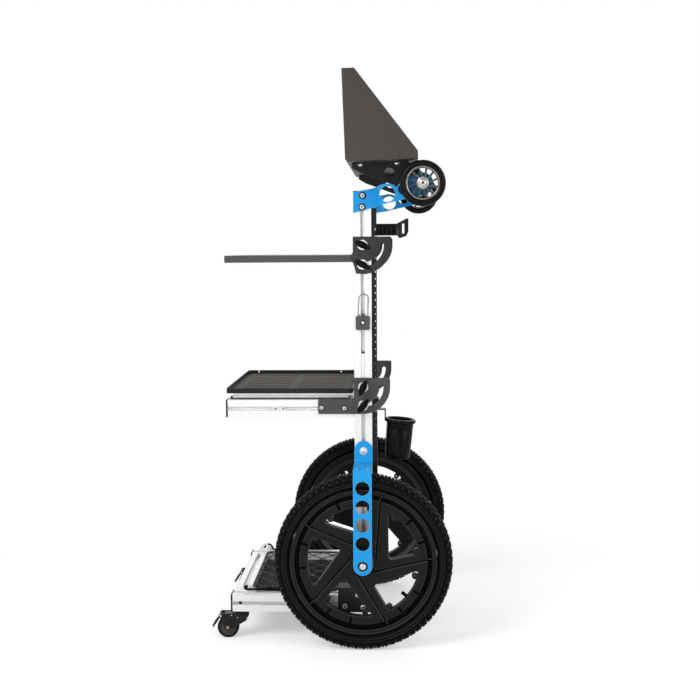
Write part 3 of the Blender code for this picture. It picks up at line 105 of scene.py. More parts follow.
floor_paint = bpy.data.materials.new("studio_floor")
floor_paint.use_nodes = True
tree = floor_paint.node_tree
tree.nodes.clear()
path = add_node(tree, "ShaderNodeLightPath")
tone = add_node(tree, "ShaderNodeMix", {"Factor": path.outputs["Is Camera Ray"], "A": (0.85, 0.85, 0.85, 1.0),
                                        "B": (1.25, 1.25, 1.25, 1.0)}, data_type="RGBA", clamp_result=False)
matt = add_node(tree, "ShaderNodeBsdfDiffuse", {"Color": tone.outputs["Result"]})
place = add_node(tree, "ShaderNodeTexCoord")
away = add_node(tree, "ShaderNodeVectorMath", {0: place.outputs["Object"]}, operation="LENGTH")
fade = add_node(tree, "ShaderNodeMapRange", {"Value": away.outputs["Value"], "From Min": 0.55,
                                             "From Max": 1.1, "To Min": 0.42},
                interpolation_type="SMOOTHSTEP")
far = add_node(tree, "ShaderNodeMath", {0: fade.outputs["Result"], 1: path.outputs["Is Camera Ray"]},
               operation="MULTIPLY")
glow = add_node(tree, "ShaderNodeEmission", {"Color": (1.0, 1.0, 1.0, 1.0), "Strength": 1.0})
surface = add_node(tree, "ShaderNodeMixShader", {0: far.outputs[0], 1: matt.outputs[0], 2: glow.outputs[0]})
add_node(tree, "ShaderNodeOutputMaterial", {"Surface": surface.outputs[0]})
bm = bmesh.new()
bmesh.ops.create_grid(bm, x_segments=1, y_segments=1, size=14.0)
floor_mesh = bpy.data.meshes.new("floor")
bm.to_mesh(floor_mesh)
bm.free()
floor = bpy.data.objects.new("floor", floor_mesh)
floor.data.materials.append(floor_paint)
bpy.context.scene.collection.objects.link(floor)

cart_middle = Vector((0.0, 0.0, 0.6))
lamps = (("key", (-2.6, -3.0, 3.4), 2.2, 115.0), ("fill", (3.2, -2.4, 1.8), 2.0, 45.0),
         ("back", (0.6, 3.4, 2.6), 2.4, 30.0), ("low", (-0.38, -2.9, 0.88), 0.30, 6.0))
for name, place, size, power in lamps:
    lamp_data = bpy.data.lights.new(name, "AREA")
    lamp_data.size = size
    lamp_data.energy = power
    lamp = bpy.data.objects.new(name, lamp_data)
    bpy.context.scene.collection.objects.link(lamp)
    aim = cart_middle - Vector(place)
    lamp.matrix_world = Matrix.Translation(place) @ aim.to_track_quat("-Z", "Y").to_matrix().to_4x4()


# Slotted profile of the frame
# Extruded aluminium, 40 mm square with a T-slot in each side, clear anodised, with broken edges and
# fine die lines along it. The uprights, cross rails, platform and middle shelf are made of it.
def new_finish(name):
    """An empty material and its nodes."""
    material = bpy.data.materials.new(name)
    material.use_nodes = True
    return material, material.node_tree


def ramp(tree, source, low, high, start=0.0, end=1.0):
    """Takes a value from one range to another."""
    made = add_node(tree, "ShaderNodeMapRange", {"Value": source, "From Min": start, "From Max": end,
                                                 "To Min": low, "To Max": high})
    return made.outputs["Result"]


def blend_colours(tree, factor, first, second):
    """Mixes two colours, each a triple or another node's output."""
    a = first if isinstance(first, bpy.types.NodeSocket) else (*first, 1.0)
    b = second if isinstance(second, bpy.types.NodeSocket) else (*second, 1.0)
    made = add_node(tree, "ShaderNodeMix", {"Factor": factor, "A": a, "B": b}, data_type="RGBA")
    return made.outputs["Result"]


def shaded(colour, share):
    """A colour darkened or lightened by a share."""
    return tuple(share * part for part in colour)


def noise(tree, place, scale, detail, distortion=0.0):
    """Cloudy noise over a surface; a large scale is fine."""
    made = add_node(tree, "ShaderNodeTexNoise", {"Vector": place, "Scale": scale, "Detail": detail,
                                                 "Distortion": distortion})
    return made.outputs["Fac"]


def stretched(tree, scale=(1.0, 1.0, 1.0)):
    """Object coordinates, stretched along the axes with a small number."""
    coordinates = add_node(tree, "ShaderNodeTexCoord")
    mapping = add_node(tree, "ShaderNodeMapping", {"Vector": coordinates.outputs["Object"], "Scale": scale})
    return mapping.outputs["Vector"]


def surfaced(material, tone, rough, height, depth, gloss=0.5, metal=0.0):
    """Joins colour, roughness and relief to the material's shader; gloss and metal are plain values."""
    tree = material.node_tree
    shader = tree.nodes["Principled BSDF"]
    relief = add_node(tree, "ShaderNodeBump", {"Height": height, "Distance": depth, "Strength": 1.0})
    for source, socket in ((tone, "Base Color"), (rough, "Roughness"), (relief.outputs["Normal"], "Normal")):
        tree.links.new(source, shader.inputs[socket])
    shader.inputs["Specular IOR Level"].default_value = gloss
    shader.inputs["Metallic"].default_value = metal
    return material


def drawn_aluminium(name, lines, bright=0.92):
    """Anodised extrusion; lines is the stretch that lays the die lines along its length."""
    material, tree = new_finish(name)
    along = stretched(tree, lines)
    die = noise(tree, along, 900.0, 3.0)
    cloud = noise(tree, stretched(tree), 9.0, 3.0)
    scuff = noise(tree, along, 210.0, 4.0, 0.6)
    light = blend_colours(tree, cloud, (bright, bright, bright * 0.99),
                          (bright * 0.96, bright * 0.96, bright * 0.95))
    dull = (0.76 * bright, 0.76 * bright, 0.76 * bright)
    worn = blend_colours(tree, ramp(tree, scuff, 0.0, 0.25, 0.58, 0.78), light, dull)
    return surfaced(material, worn, ramp(tree, die, 0.26, 0.42, 0.3, 0.7), die, 0.00004, metal=0.42)


def finished(bm, name, body, materials, smooth=21.0, node=None):
    """Makes a bmesh a piece of the cart: smooth but for its sharp edges, riding on a body.

    It takes the place of a node where one is given.
    """
    mesh = bpy.data.meshes.new(name)
    bm.to_mesh(mesh)
    bm.free()
    if "custom_normal" in mesh.attributes:
        mesh.attributes.remove(mesh.attributes["custom_normal"])
    mesh.shade_smooth()
    mesh.set_sharp_from_angle(angle=radians(smooth))
    for material in materials:
        mesh.materials.append(material)
    made = bpy.data.objects.new(name, mesh)
    bpy.context.scene.collection.objects.link(made)
    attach(made, body)
    if node:
        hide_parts(node)
    return made


def joined(bm):
    """Joins the flat faces of a mesh."""
    bmesh.ops.dissolve_limit(bm, angle_limit=radians(0.5), verts=bm.verts, edges=bm.edges)


def broken_edges(node, body, materials, width, holes=None):
    """A node as the real part has it; its broken edges take the second material, a painted highlight on some
    parts, painted shade on others. It takes the node's place.
    """
    bm = bmesh.new()
    bm.from_mesh(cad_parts[node].data)
    bmesh.ops.remove_doubles(bm, verts=bm.verts, dist=0.00001)
    joined(bm)
    if holes:
        bm = subtracted(bm, holes)
        joined(bm)
    bmesh.ops.triangulate(bm, faces=list(bm.faces))
    sharp = [edge for edge in bm.edges
             if len(edge.link_faces) == 2 and edge.calc_face_angle() > radians(SHARP)]
    bmesh.ops.bevel(bm, geom=sharp, offset=width, affect="EDGES", segments=1, profile=0.5, material=1,
                    clamp_overlap=True)
    return finished(bm, node + "_shape", body, materials, SHARP, node)


def profile_length(node, body, axis, middle):
    """A length of profile: painted shade on its broken edges, near-black painted shadow on its slots' mouths.
    """
    made = broken_edges(node, body, aluminium[axis], 0.0010)
    for polygon in made.data.polygons:
        out = [abs(polygon.center[i] - middle[i]) for i in range(3) if i != axis]
        if max(out) < INSIDE and abs(polygon.normal[axis]) < 0.5:
            polygon.material_index = 0
        elif polygon.material_index == 1 and min(out) < MOUTH:
            polygon.material_index = 2


SHARP = 31.0
INSIDE, MOUTH = 0.0194, 0.0080
# Each axis has a bright finish, a darker one painted on broken edges as shade, and a near-black one painted
# on slot mouths as their shadow.
aluminium = []
for axis, letter in enumerate("xyz"):
    lines = [0.02 if i == axis else 1.0 for i in range(3)]
    aluminium.append([drawn_aluminium("aluminium_along_" + letter, lines),
                      drawn_aluminium("aluminium_painted_edge_shade_" + letter, lines, 0.36),
                      drawn_aluminium("aluminium_painted_slot_shadow_" + letter, lines, 0.045)])
SIDES = (("left", -1), ("right", 1))
POST = 0.0769
rail_y, platform_z, shelf_z = 0.18, 0.086, 0.5375
for label, side in SIDES:
    profile_length("upright_" + label, "frame", 2, (POST, side * rail_y, 0.0))
    profile_length("platform_rail_" + label, "frame", 0, (0.0, side * rail_y, platform_z))
    profile_length("mid_rail_" + label, "middle_shelf", 0, (0.0, side * rail_y, shelf_z))
for node in ("cross_rail_top", "cross_rail_bottom", "platform_front_rail"):
    low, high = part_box(node)
    profile_length(node, "frame", 1, (low + high) / 2)
low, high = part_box("mid_cross_rail")
profile_length("mid_cross_rail", "middle_shelf", 1, (low + high) / 2)


# End caps and slot insert
# Black moulded caps pressed into the upper and front ends of the profiles, and a short clamping
# piece, bright in a black seat, in the outer slot of the left upright.
def rubbed_plastic(name, colour, rough, grain, depth, rubbed=(0.030, 0.029, 0.028), gloss=0.2):
    """Moulded plastic: fine spark grain, patches of shade and paler rubbed marks."""
    material, tree = new_finish(name)
    around = stretched(tree)
    fine = noise(tree, around, grain, 2.0)
    cloud = noise(tree, around, 14.0, 3.0)
    marks = noise(tree, stretched(tree, (1.0, 3.5, 1.0)), 65.0, 5.0, 1.2)
    shade = blend_colours(tree, cloud, colour, shaded(colour, 0.72))
    tone = blend_colours(tree, ramp(tree, marks, 0.0, 0.30, 0.60, 0.80), shade, rubbed)
    return surfaced(material, tone, ramp(tree, marks, rough - 0.06, rough + 0.10, 0.3, 0.7), fine, depth,
                    gloss)


def poured(bm, part):
    """Moves a bit's faces into a piece."""
    mesh = bpy.data.meshes.new("bit")
    part.to_mesh(mesh)
    part.free()
    bm.from_mesh(mesh)
    bpy.data.meshes.remove(mesh)


def added(bm, part, place=Matrix.Identity(4), finish=0):
    """Puts a bit, welded and facing outwards, into a piece; finish is its material's place in the list."""
    for f in part.faces:
        f.material_index = max(f.material_index, finish)
    bmesh.ops.remove_doubles(part, verts=part.verts, dist=0.000001)
    bmesh.ops.transform(part, matrix=place, verts=part.verts)
    bmesh.ops.recalc_face_normals(part, faces=part.faces)
    poured(bm, part)


def cube(bm, place, size):
    """Puts a plain cuboid about a place; gives its corners."""
    return bmesh.ops.create_cube(bm, size=1.0, matrix=place @ Matrix.Diagonal((*size, 1.0)))["verts"]


def block(bm, low, high, rounding, place=Matrix.Identity(4), finish=0):
    """A block between two corners, its edges rounded."""
    part = bmesh.new()
    cube(part, Matrix.Translation((Vector(high) + Vector(low)) / 2), Vector(high) - Vector(low))
    bmesh.ops.bevel(part, geom=list(part.edges), offset=rounding, affect="EDGES", segments=2, profile=0.5,
                    material=-1)
    added(bm, part, place, finish)


black_moulding = rubbed_plastic("black_moulding", (0.006, 0.006, 0.006), 0.30, 700.0, 0.00004, gloss=0.3)
half = 0.02012
bm = bmesh.new()
for label, side in SIDES:
    block(bm, (POST - half, side * rail_y - half, 1.0209), (POST + half, side * rail_y + half, 1.0252),
          0.0010)
    block(bm, (-0.2313, side * rail_y - half, platform_z - half),
          (-0.2270, side * rail_y + half, platform_z + half), 0.0010)
block(bm, (POST - 0.0037, -0.1985, 0.6072), (POST + 0.0037, -0.1920, 0.6658), 0.0005)
block(bm, (POST - 0.0037, -0.2001, 0.6622), (POST + 0.0037, -0.1930, 0.6658), 0.0005)
block(bm, (POST - 0.0029, -0.2001, 0.6072), (POST + 0.0022, -0.1930, 0.6616), 0.0020, finish=1)
finished(bm, "frame_caps", "frame", [black_moulding, aluminium[2][0]])
bm = bmesh.new()
for label, side in SIDES:
    low = (-0.2353, side * rail_y - half, shelf_z - half)
    block(bm, low, (-0.2310, side * rail_y + half, shelf_z + half), 0.0010)
finished(bm, "shelf_caps", "middle_shelf", [black_moulding])


# Rack strip
# A channel of 2 mm black steel in a long and a short length, screwed to the rear of the left upright
# and punched with square holes on the pitch of rack equipment down its back, small ones down its legs.
def painted(name, colour, rough, peel=900.0, depth=0.00003, chipped=(0.11, 0.11, 0.11), chips=0.35,
            gloss=0.3):
    """Powder coat on sheet: orange peel, shade in patches, fine scratches and small rubbed chips."""
    material, tree = new_finish(name)
    around = stretched(tree)
    fine = noise(tree, around, peel, 1.0)
    cloud = noise(tree, around, 5.0, 2.0)
    spots = noise(tree, around, 160.0, 4.0, 0.4)
    scratches = noise(tree, stretched(tree, (6.0, 1.0, 0.25)), 55.0, 5.0, 1.5)
    shade = blend_colours(tree, cloud, colour, shaded(colour, 0.84))
    lined = blend_colours(tree, ramp(tree, scratches, 0.0, chips, 0.64, 0.80), shade, chipped)
    tone = blend_colours(tree, ramp(tree, spots, 0.0, chips, 0.72, 0.84), lined, chipped)
    return surfaced(material, tone, ramp(tree, scratches, rough - 0.03, rough + 0.05, 0.3, 0.7), fine, depth,
                    gloss)


def from_curve(curve):
    """The mesh of a curve, as a bmesh."""
    holder = bpy.data.objects.new("holder", curve)
    bpy.context.scene.collection.objects.link(holder)
    mesh = bpy.data.meshes.new_from_object(holder.evaluated_get(bpy.context.evaluated_depsgraph_get()))
    bpy.data.objects.remove(holder)
    bpy.data.curves.remove(curve)
    part = bmesh.new()
    part.from_mesh(mesh)
    bpy.data.meshes.remove(mesh)
    return part


def cut_sheet(loops, thickness, edge, rounds=1):
    """A blank in the XY plane with its holes, thickness along Z, its edges rounded."""
    curve = bpy.data.curves.new("blank", "CURVE")
    curve.dimensions = "2D"
    curve.fill_mode = "BOTH"
    curve.extrude = thickness / 2 - edge
    curve.bevel_depth = edge
    curve.bevel_resolution = rounds
    curve.offset = -edge
    for loop in loops:
        spline = curve.splines.new("POLY")
        spline.points.add(len(loop) - 1)
        for point, place in zip(spline.points, loop):
            point.co = (place[0], place[1], 0.0, 1.0)
        spline.use_cyclic_u = True
    return from_curve(curve)


def oblong(middle, width, height):
    """Corners of an oblong about its middle."""
    x, y = middle
    a, b = width / 2, height / 2
    return [(x - a, y - b), (x + a, y - b), (x + a, y + b), (x - a, y + b)]


def axes(first, second, point):
    """A place whose X and Y lie along two directions."""
    x, y = Vector(first).normalized(), Vector(second).normalized()
    z = x.cross(y)
    return Matrix(((x.x, y.x, z.x, point[0]), (x.y, y.y, z.y, point[1]), (x.z, y.z, z.z, point[2]),
                   (0.0, 0.0, 0.0, 1.0)))


def rack_length(name, low, high, rows, leg_rows, node=None):
    """A length of the channel between two corners, its rows of holes measured from its middle."""
    bm = bmesh.new()
    length, middle = high.z - low.z, (high.z + low.z) / 2
    squares = [oblong((row, 0.0), 0.0095, 0.0095) for row in rows]
    slots = [oblong((row, -0.0029), 0.0046, 0.0026) for row in leg_rows]
    back = cut_sheet([oblong((0.0, 0.0), length, 0.024)] + squares, 0.002, 0.0003)
    added(bm, back, axes((0, 0, 1), (0, 1, 0), (high.x - 0.001, -rail_y, middle)))
    for y in (low.y + 0.001, high.y - 0.001):
        leg = cut_sheet([oblong((0.0, 0.0), length, 0.0100)] + slots, 0.002, 0.0003)
        added(bm, leg, axes((0, 0, 1), (-1, 0, 0), (low.x + 0.0050, y, middle)))
    finished(bm, name, "frame", [strip_coat], node=node)


black_coat = painted("black_powder_coat", (0.016, 0.0148, 0.0136), 0.30, chipped=(0.045, 0.043, 0.04),
                     chips=0.2, gloss=0.4)
# A lighter coat painted on the broken edges of dark sheet parts as their highlight.
black_edge_highlight = painted("black_painted_edge_highlight", (0.060, 0.057, 0.053), 0.34)
strip_coat = painted("black_strip_coat", (0.008, 0.008, 0.008), 0.40)
pitch = 0.015875
low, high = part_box("rack_rail")
rows = [(i - 25) * pitch for i in range(51)]
rack_length("rack_strip", low, high, rows, rows, "rack_rail")
foot = Vector((low.x, low.y, high.z + 0.0003))
head = Vector((high.x, high.y, 0.9875))
rise = head.z - foot.z
rows = [pitch * (i + 0.5) - rise / 2 for i in range(int(rise / pitch))]
rack_length("rack_strip_top", foot, head, rows, ())


# Stirrups and main axles
# Each main wheel turns on a steel axle between the upright and a stirrup of 4 mm aluminium, bent
# over the tyre, blue powder coated, lightened with four holes and bolted on through its upper tab.
def plated_steel(name, colour=(0.90, 0.89, 0.86), rough=0.22):
    """Zinc plate: cloudy crystals, turning marks and a few darker specks."""
    material, tree = new_finish(name)
    around = stretched(tree)
    cloud = noise(tree, around, 120.0, 4.0)
    fine = noise(tree, around, 1500.0, 2.0)
    shade = blend_colours(tree, cloud, colour, shaded(colour, 0.78))
    tone = blend_colours(tree, ramp(tree, cloud, 0.0, 0.35, 0.62, 0.75), shade, (0.34, 0.33, 0.31))
    return surfaced(material, tone, ramp(tree, cloud, rough, rough + 0.16, 0.3, 0.7), fine, 0.00002,
                    metal=0.8)


def spun(profile, steps, closed):
    """(radius, height) points spun about Z, the last joined to the first where it is closed."""
    part = bmesh.new()
    verts = [part.verts.new((radius, 0.0, height)) for radius, height in profile]
    edges = [part.edges.new(pair) for pair in zip(verts, verts[1:])]
    if closed:
        edges.append(part.edges.new((verts[-1], verts[0])))
    bmesh.ops.spin(part, geom=verts + edges, cent=(0, 0, 0), axis=(0, 0, 1), angle=2 * pi, steps=steps,
                   use_merge=True, use_duplicate=False)
    return part


def turned(bm, profile, place, steps=48, finish=0):
    """A lathe-turned bit: (radius, height) points spun about local Z. Ends on the axis close it."""
    part = spun(profile, steps, profile[0][0] > 0.0 and profile[-1][0] > 0.0)
    added(bm, part, place, finish)


def turned_piece(name, body, material, profile, places, steps, smooth=21.0, node=None):
    """A piece that is one turned bit at each of its places."""
    bm = bmesh.new()
    for place in places:
        turned(bm, profile, place, steps)
    finished(bm, name, body, [material], smooth, node)


def facing(direction, point):
    """A place whose Z looks along a direction."""
    return Matrix.Translation(point) @ Vector(direction).to_track_quat("Z", "Y").to_matrix().to_4x4()


def bolt(bm, place, radius, height, socket, washer=0.0):
    """Button-head bolt with a hexagon socket, on a washer where one is given."""
    seat = 0.0
    if washer:
        turned(bm, [(0.0, 0.0), (washer, 0.0), (washer, 0.0009), (washer - 0.0003, 0.0012), (0.0, 0.0012)],
               place, 32)
        seat = 0.0012
    rings = [(radius, seat), (radius, seat + 0.35 * height), (0.90 * radius, seat + 0.75 * height),
             (0.68 * radius, seat + height), (socket * 1.1, seat + height)]
    part = spun(rings, 24, False)
    mouth = [edge for edge in part.edges
             if len(edge.link_faces) == 1 and edge.verts[0].co.z > seat + 0.9 * height]
    well = bmesh.ops.create_circle(part, radius=socket * 0.95, segments=6,
                                   matrix=Matrix.Translation((0, 0, seat + height)))["verts"]
    hexagon = list({edge for vert in well for edge in vert.link_edges})
    bmesh.ops.bridge_loops(part, edges=mouth + hexagon)
    sunk = bmesh.ops.extrude_edge_only(part, edges=hexagon)["geom"]
    bottom = [item for item in sunk if isinstance(item, bmesh.types.BMVert)]
    bmesh.ops.translate(part, vec=(0, 0, -0.75 * height), verts=bottom)
    bmesh.ops.contextual_create(part, geom=bottom)
    added(bm, part, place)


def bolted(name, body, places, *sizes):
    """Button heads at their places, as one piece."""
    bm = bmesh.new()
    for place in places:
        bolt(bm, place, *sizes)
    finished(bm, name, body, [zinc])


blue_coat = painted("blue_powder_coat", (0.016, 0.345, 0.80), 0.45, 1100.0, 0.00003, (0.20, 0.50, 0.84),
                    0.25, 0.15)
# A lighter blue painted on the broken edges of the stirrups and arms as their highlight.
blue_highlight = painted("blue_coat_painted_edge_highlight", (0.10, 0.52, 0.92), 0.30, 1100.0, 0.00003, (0.50, 0.70, 0.86), 0.45)
zinc = plated_steel("zinc_plate")
wheel_y, axle_z = 0.249, 0.2
start, inner = 0.2003, 0.2940
spindle = [(0.0, start), (0.0146, start), (0.0150, start + 0.0004), (0.0150, start + 0.0046),
           (0.0146, start + 0.0050), (0.0062, start + 0.0050), (0.0060, start + 0.0054),
           (0.0060, inner - 0.0030), (0.0058, inner - 0.0030), (0.0058, 0.2976), (0.0, 0.2976)]
bush = [(0.0060, inner - 0.003), (0.0107, inner - 0.003), (0.0107, 0.2983), (0.0101, 0.2989),
        (0.0076, 0.2989), (0.0072, 0.2980), (0.0060, 0.2978)]
for label, side in SIDES:
    broken_edges("stirrup_" + label, "frame", [blue_coat, blue_highlight], 0.0006)
    out = (0, side, 0)
    bm = bmesh.new()
    bolt(bm, facing(out, (POST, side * 0.2044, 0.4415)), 0.0052, 0.0028, 0.0026, 0.0088)
    for dx in (-0.0125, 0.0125):
        turned(bm, [(0.0, 0.0), (0.0021, 0.0), (0.0017, 0.0009), (0.0, 0.0012)],
               facing((0, 0, 1), (POST + dx, side * 0.288, 0.4161)), 16)
    finished(bm, "stirrup_bolts_" + label, "frame", [zinc])
    bm = bmesh.new()
    line = facing(out, (POST, 0.0, axle_z))
    turned(bm, spindle, line)
    bolt(bm, facing(out, (POST, side * 0.2975, axle_z)), 0.0074, 0.0034, 0.0028)
    finished(bm, "axle_shape_" + label, "frame", [zinc], node="axle_" + label)
    turned_piece("axle_bush_" + label, "frame", black_moulding, bush, [line], 48)


# Main wheels
# Five-spoked wheels moulded in glass-filled charcoal plastic, 330 mm across the flange. Each spoke
# leans past the hub and has a groove down its middle; the ring is notched, with bosses behind it.
def spoke_axes(angle):
    """Direction of a spoke, and the direction to its clockwise side."""
    along = Vector((cos(radians(angle)), sin(radians(angle)), 0.0))
    return along, Vector((along.y, -along.x, 0.0))


def filleted(points, corners, size):
    """An outline whose named corners are rounded."""
    part = bmesh.new()
    verts = [part.verts.new(point) for point in points]
    part.faces.new(verts)
    bmesh.ops.bevel(part, geom=[verts[i] for i in corners], offset=size, affect="VERTICES", segments=5,
                    profile=0.5, material=-1)
    part.faces.ensure_lookup_table()
    outline = [vert.co.copy() for vert in part.faces[0].verts]
    part.free()
    return outline


def arc_points(radius, first, last, steps, middle=(0.0, 0.0)):
    """Points on an arc, angles in degrees."""
    places = [radians(first + (last - first) * i / steps) for i in range(steps + 1)]
    return [Vector((middle[0] + radius * cos(a), middle[1] + radius * sin(a), 0.0)) for a in places]


def groove_place(angle):
    """The middle of a spoke's groove on the wheel's face, X along the spoke."""
    along, across = spoke_axes(angle)
    middle = across * spoke_offset + along * 0.078 + Vector((0, 0, face))
    return Matrix.Translation(middle) @ Matrix.Rotation(radians(angle), 4, "Z")


def window(angle):
    """Opening on the clockwise side of a spoke: two straight sides and an arc of the ring."""
    reach, half_width, root = 0.125, 0.018, 0.030
    along, across = spoke_axes(angle)
    start = across * (spoke_offset + root)
    lean = (across * (spoke_offset + half_width) + along * reach - start).normalized()
    next_along, next_across = spoke_axes(angle - fifth)
    edge = next_across * (spoke_offset - half_width)
    inner = geometry.intersect_line_line(start, start + lean, edge, edge + next_along)[0]
    ends = []
    for point, way in ((start, lean), (edge, next_along)):
        crossings = geometry.intersect_line_sphere(point, point + way, Vector((0, 0, 0)), reach, False)
        ends.append(max(crossings, key=way.dot))
    from_angle = atan2(ends[0].y, ends[0].x) * 180.0 / pi
    sweep = (atan2(ends[1].y, ends[1].x) * 180.0 / pi - from_angle) % -360.0
    middle = arc_points(reach, from_angle, from_angle + sweep, 14)[1:-1]
    return filleted([inner, ends[0]] + middle + [ends[1]], (0, 1, len(middle) + 2), 0.010)


def wheel_place(side, centre):
    """Place of a wheel whose local Z looks out of the cart, as both wheels are the same moulding."""
    return Matrix(((-side, 0, 0, centre[0]), (0, 0, side, centre[1]), (0, 1, 0, centre[2]), (0, 0, 0, 1)))


def subtracted(part, cutter):
    """The first mesh with the second cut out of it."""
    holders = []
    for source in (part, cutter):
        bmesh.ops.remove_doubles(source, verts=source.verts, dist=0.000001)
        bmesh.ops.recalc_face_normals(source, faces=source.faces)
        mesh = bpy.data.meshes.new("cutting")
        source.to_mesh(mesh)
        source.free()
        holders.append(bpy.data.objects.new("cutting", mesh))
        bpy.context.scene.collection.objects.link(holders[-1])
    modifier = holders[0].modifiers.new("cut", "BOOLEAN")
    modifier.operation = "DIFFERENCE"
    modifier.solver = "EXACT"
    modifier.object = holders[1]
    graph = bpy.context.evaluated_depsgraph_get()
    mesh = bpy.data.meshes.new_from_object(holders[0].evaluated_get(graph))
    for holder in holders:
        bpy.data.objects.remove(holder)
    result = bmesh.new()
    result.from_mesh(mesh)
    return result


rim_plastic = rubbed_plastic("charcoal_rim", (0.0085, 0.0080, 0.0073), 0.42, 520.0, 0.00008,
                             (0.024, 0.0225, 0.021), 0.18)
# A lighter charcoal painted on the rim's tilted faces and ribs as their highlight.
rim_highlight = rubbed_plastic("charcoal_rim_painted_highlight", (0.040, 0.038, 0.035), 0.36, 520.0, 0.00006,
                          (0.07, 0.067, 0.063), 0.35)
# A near black painted in the ring's notches, the spokes' grooves and the ring inside the barrel as their
# shade.
rim_shade = rubbed_plastic("charcoal_rim_painted_shade", (0.004, 0.004, 0.004), 0.60, 520.0, 0.00006,
                          (0.010, 0.010, 0.009), 0.06)
fifth = 72.0
spokes = [85.0 - fifth * i for i in range(5)]
ends = [angle - 10.3 for angle in spokes]
notches = [end + turn for end in ends for turn in (16.5, 39.0)]
spoke_offset = 0.027
face, rear = 0.011, -0.009
barrel = [(0.1650, -0.0160), (0.1650, 0.0158), (0.1642, 0.0170), (0.1630, 0.0170), (0.1622, 0.0162),
          (0.1572, 0.0160), (0.1566, 0.0168), (0.1556, 0.0168), (0.1546, 0.0154), (0.1544, 0.0020),
          (0.1390, 0.0018), (0.1390, -0.0085), (0.1500, -0.0165), (0.1640, -0.0170)]
gap = [(0.1432, 0.0022), (0.1540, 0.0024), (0.1541, 0.0140), (0.1543, 0.0140), (0.1543, 0.0020),
       (0.1432, 0.0018)]
hub = [(0.0063, -0.0350), (0.0150, -0.0350), (0.0156, -0.0344), (0.0156, -0.0240), (0.0250, -0.0200),
       (0.0280, -0.0090), (0.0300, 0.0100), (0.0292, 0.0126), (0.0262, 0.0134), (0.0252, 0.0120),
       (0.0244, 0.0200), (0.0200, 0.0240), (0.0156, 0.0260), (0.0156, 0.0344), (0.0150, 0.0350),
       (0.0063, 0.0350)]
boss = [(0.0020, 0.0035), (0.0032, 0.0035), (0.0036, 0.0042), (0.0056, 0.0042), (0.0064, 0.0034),
        (0.0066, -0.0085), (0.0020, -0.0085)]
for label, side in SIDES:
    place = wheel_place(side, (POST, side * wheel_y, axle_z))
    bm = bmesh.new()
    web = cut_sheet([arc_points(0.143, 0.0, 357.5, 143)] + [window(angle) for angle in spokes], 0.020, 0.0013)
    bmesh.ops.translate(web, vec=(0, 0, (face + rear) / 2), verts=web.verts)
    grooves = bmesh.new()
    for angle in spokes:
        vee = groove_place(angle) @ Matrix.Rotation(radians(45.0), 4, "X")
        cube(grooves, vee, (0.136, 0.0048, 0.0048))
    for angle in notches:
        spot = Matrix.Rotation(radians(angle), 4, "Z") @ Matrix.Translation((0.1365, 0, face))
        cube(grooves, spot, (0.0150, 0.0052, 0.0160))
    web = subtracted(web, grooves)
    grooves = bmesh.new()
    for angle in spokes:
        cube(grooves, groove_place(angle), (0.137, 0.0034, 0.0140))
    web = subtracted(web, grooves)
    # Faces in the ring's notches and down the spokes' grooves take the painted shade.
    for f in web.faces:
        middle = f.calc_center_median()
        if -0.006 < middle.z < face - 0.0014 and middle.xy.length > 0.127:
            f.material_index = 2
        for angle in spokes:
            along, across = spoke_axes(angle)
            from_groove = abs(middle.dot(across) - spoke_offset)
            if from_groove < 0.0019 and middle.dot(along) > 0.009 and middle.z < face - 0.0012:
                f.material_index = 2
    added(bm, web, place)
    turned(bm, barrel, place, 144)
    # The thin ring inside the barrel is painted shade.
    turned(bm, gap, place, 96, 2)
    turned(bm, hub, place, 64)
    for end in ends:
        rib = place @ Matrix.Rotation(radians(end), 4, "Z")
        # The ribs take the painted highlight.
        block(bm, (0.1420, -0.0008, 0.0016), (0.1550, 0.0008, 0.0100), 0.0002, rib, 1)
        for turn in (8.3, 52.8):
            spot = place @ Matrix.Rotation(radians(end + turn), 4, "Z") @ Matrix.Translation((0.1195, 0, 0))
            turned(bm, boss, spot, 28)
            block(bm, (0.0030, -0.0062, -0.0085), (0.0085, 0.0062, 0.0026), 0.0004, spot)
    # Faces tilted part-way towards the wheel's sides take the painted highlight.
    bm.normal_update()
    for f in bm.faces:
        if 0.3 < abs(f.normal.y) < 0.93 and f.material_index == 0:
            f.material_index = 1
    finished(bm, "rim_" + label, "main_wheel_" + label,
             [rim_plastic, rim_highlight, rim_shade], node="wheel_rim_" + label)


# Tyres
# Pneumatic block-tread tyres, 400 by 46 mm: low rings moulded round the side walls, staggered
# blocks on the crown and a row of blocks over each shoulder, with patches of dust.
def tyre_rubber(name):
    """Black rubber, a little greyer in patches of dust, with a fine moulded grain."""
    material, tree = new_finish(name)
    around = stretched(tree)
    fine = noise(tree, around, 1300.0, 2.0)
    cloud = noise(tree, around, 22.0, 4.0)
    dust = noise(tree, around, 90.0, 5.0, 0.5)
    shade = blend_colours(tree, cloud, (0.0016, 0.0016, 0.0016), (0.0034, 0.0033, 0.0032))
    tone = blend_colours(tree, ramp(tree, dust, 0.0, 0.35, 0.52, 0.80), shade, (0.015, 0.014, 0.013))
    return surfaced(material, tone, ramp(tree, cloud, 0.58, 0.74, 0.3, 0.7), fine, 0.00006, 0.07)


def mirrored(half, middle=()):
    """A whole profile from its upper half and any points on its middle line."""
    return half + list(middle) + [(r, -z) for r, z in reversed(half)]


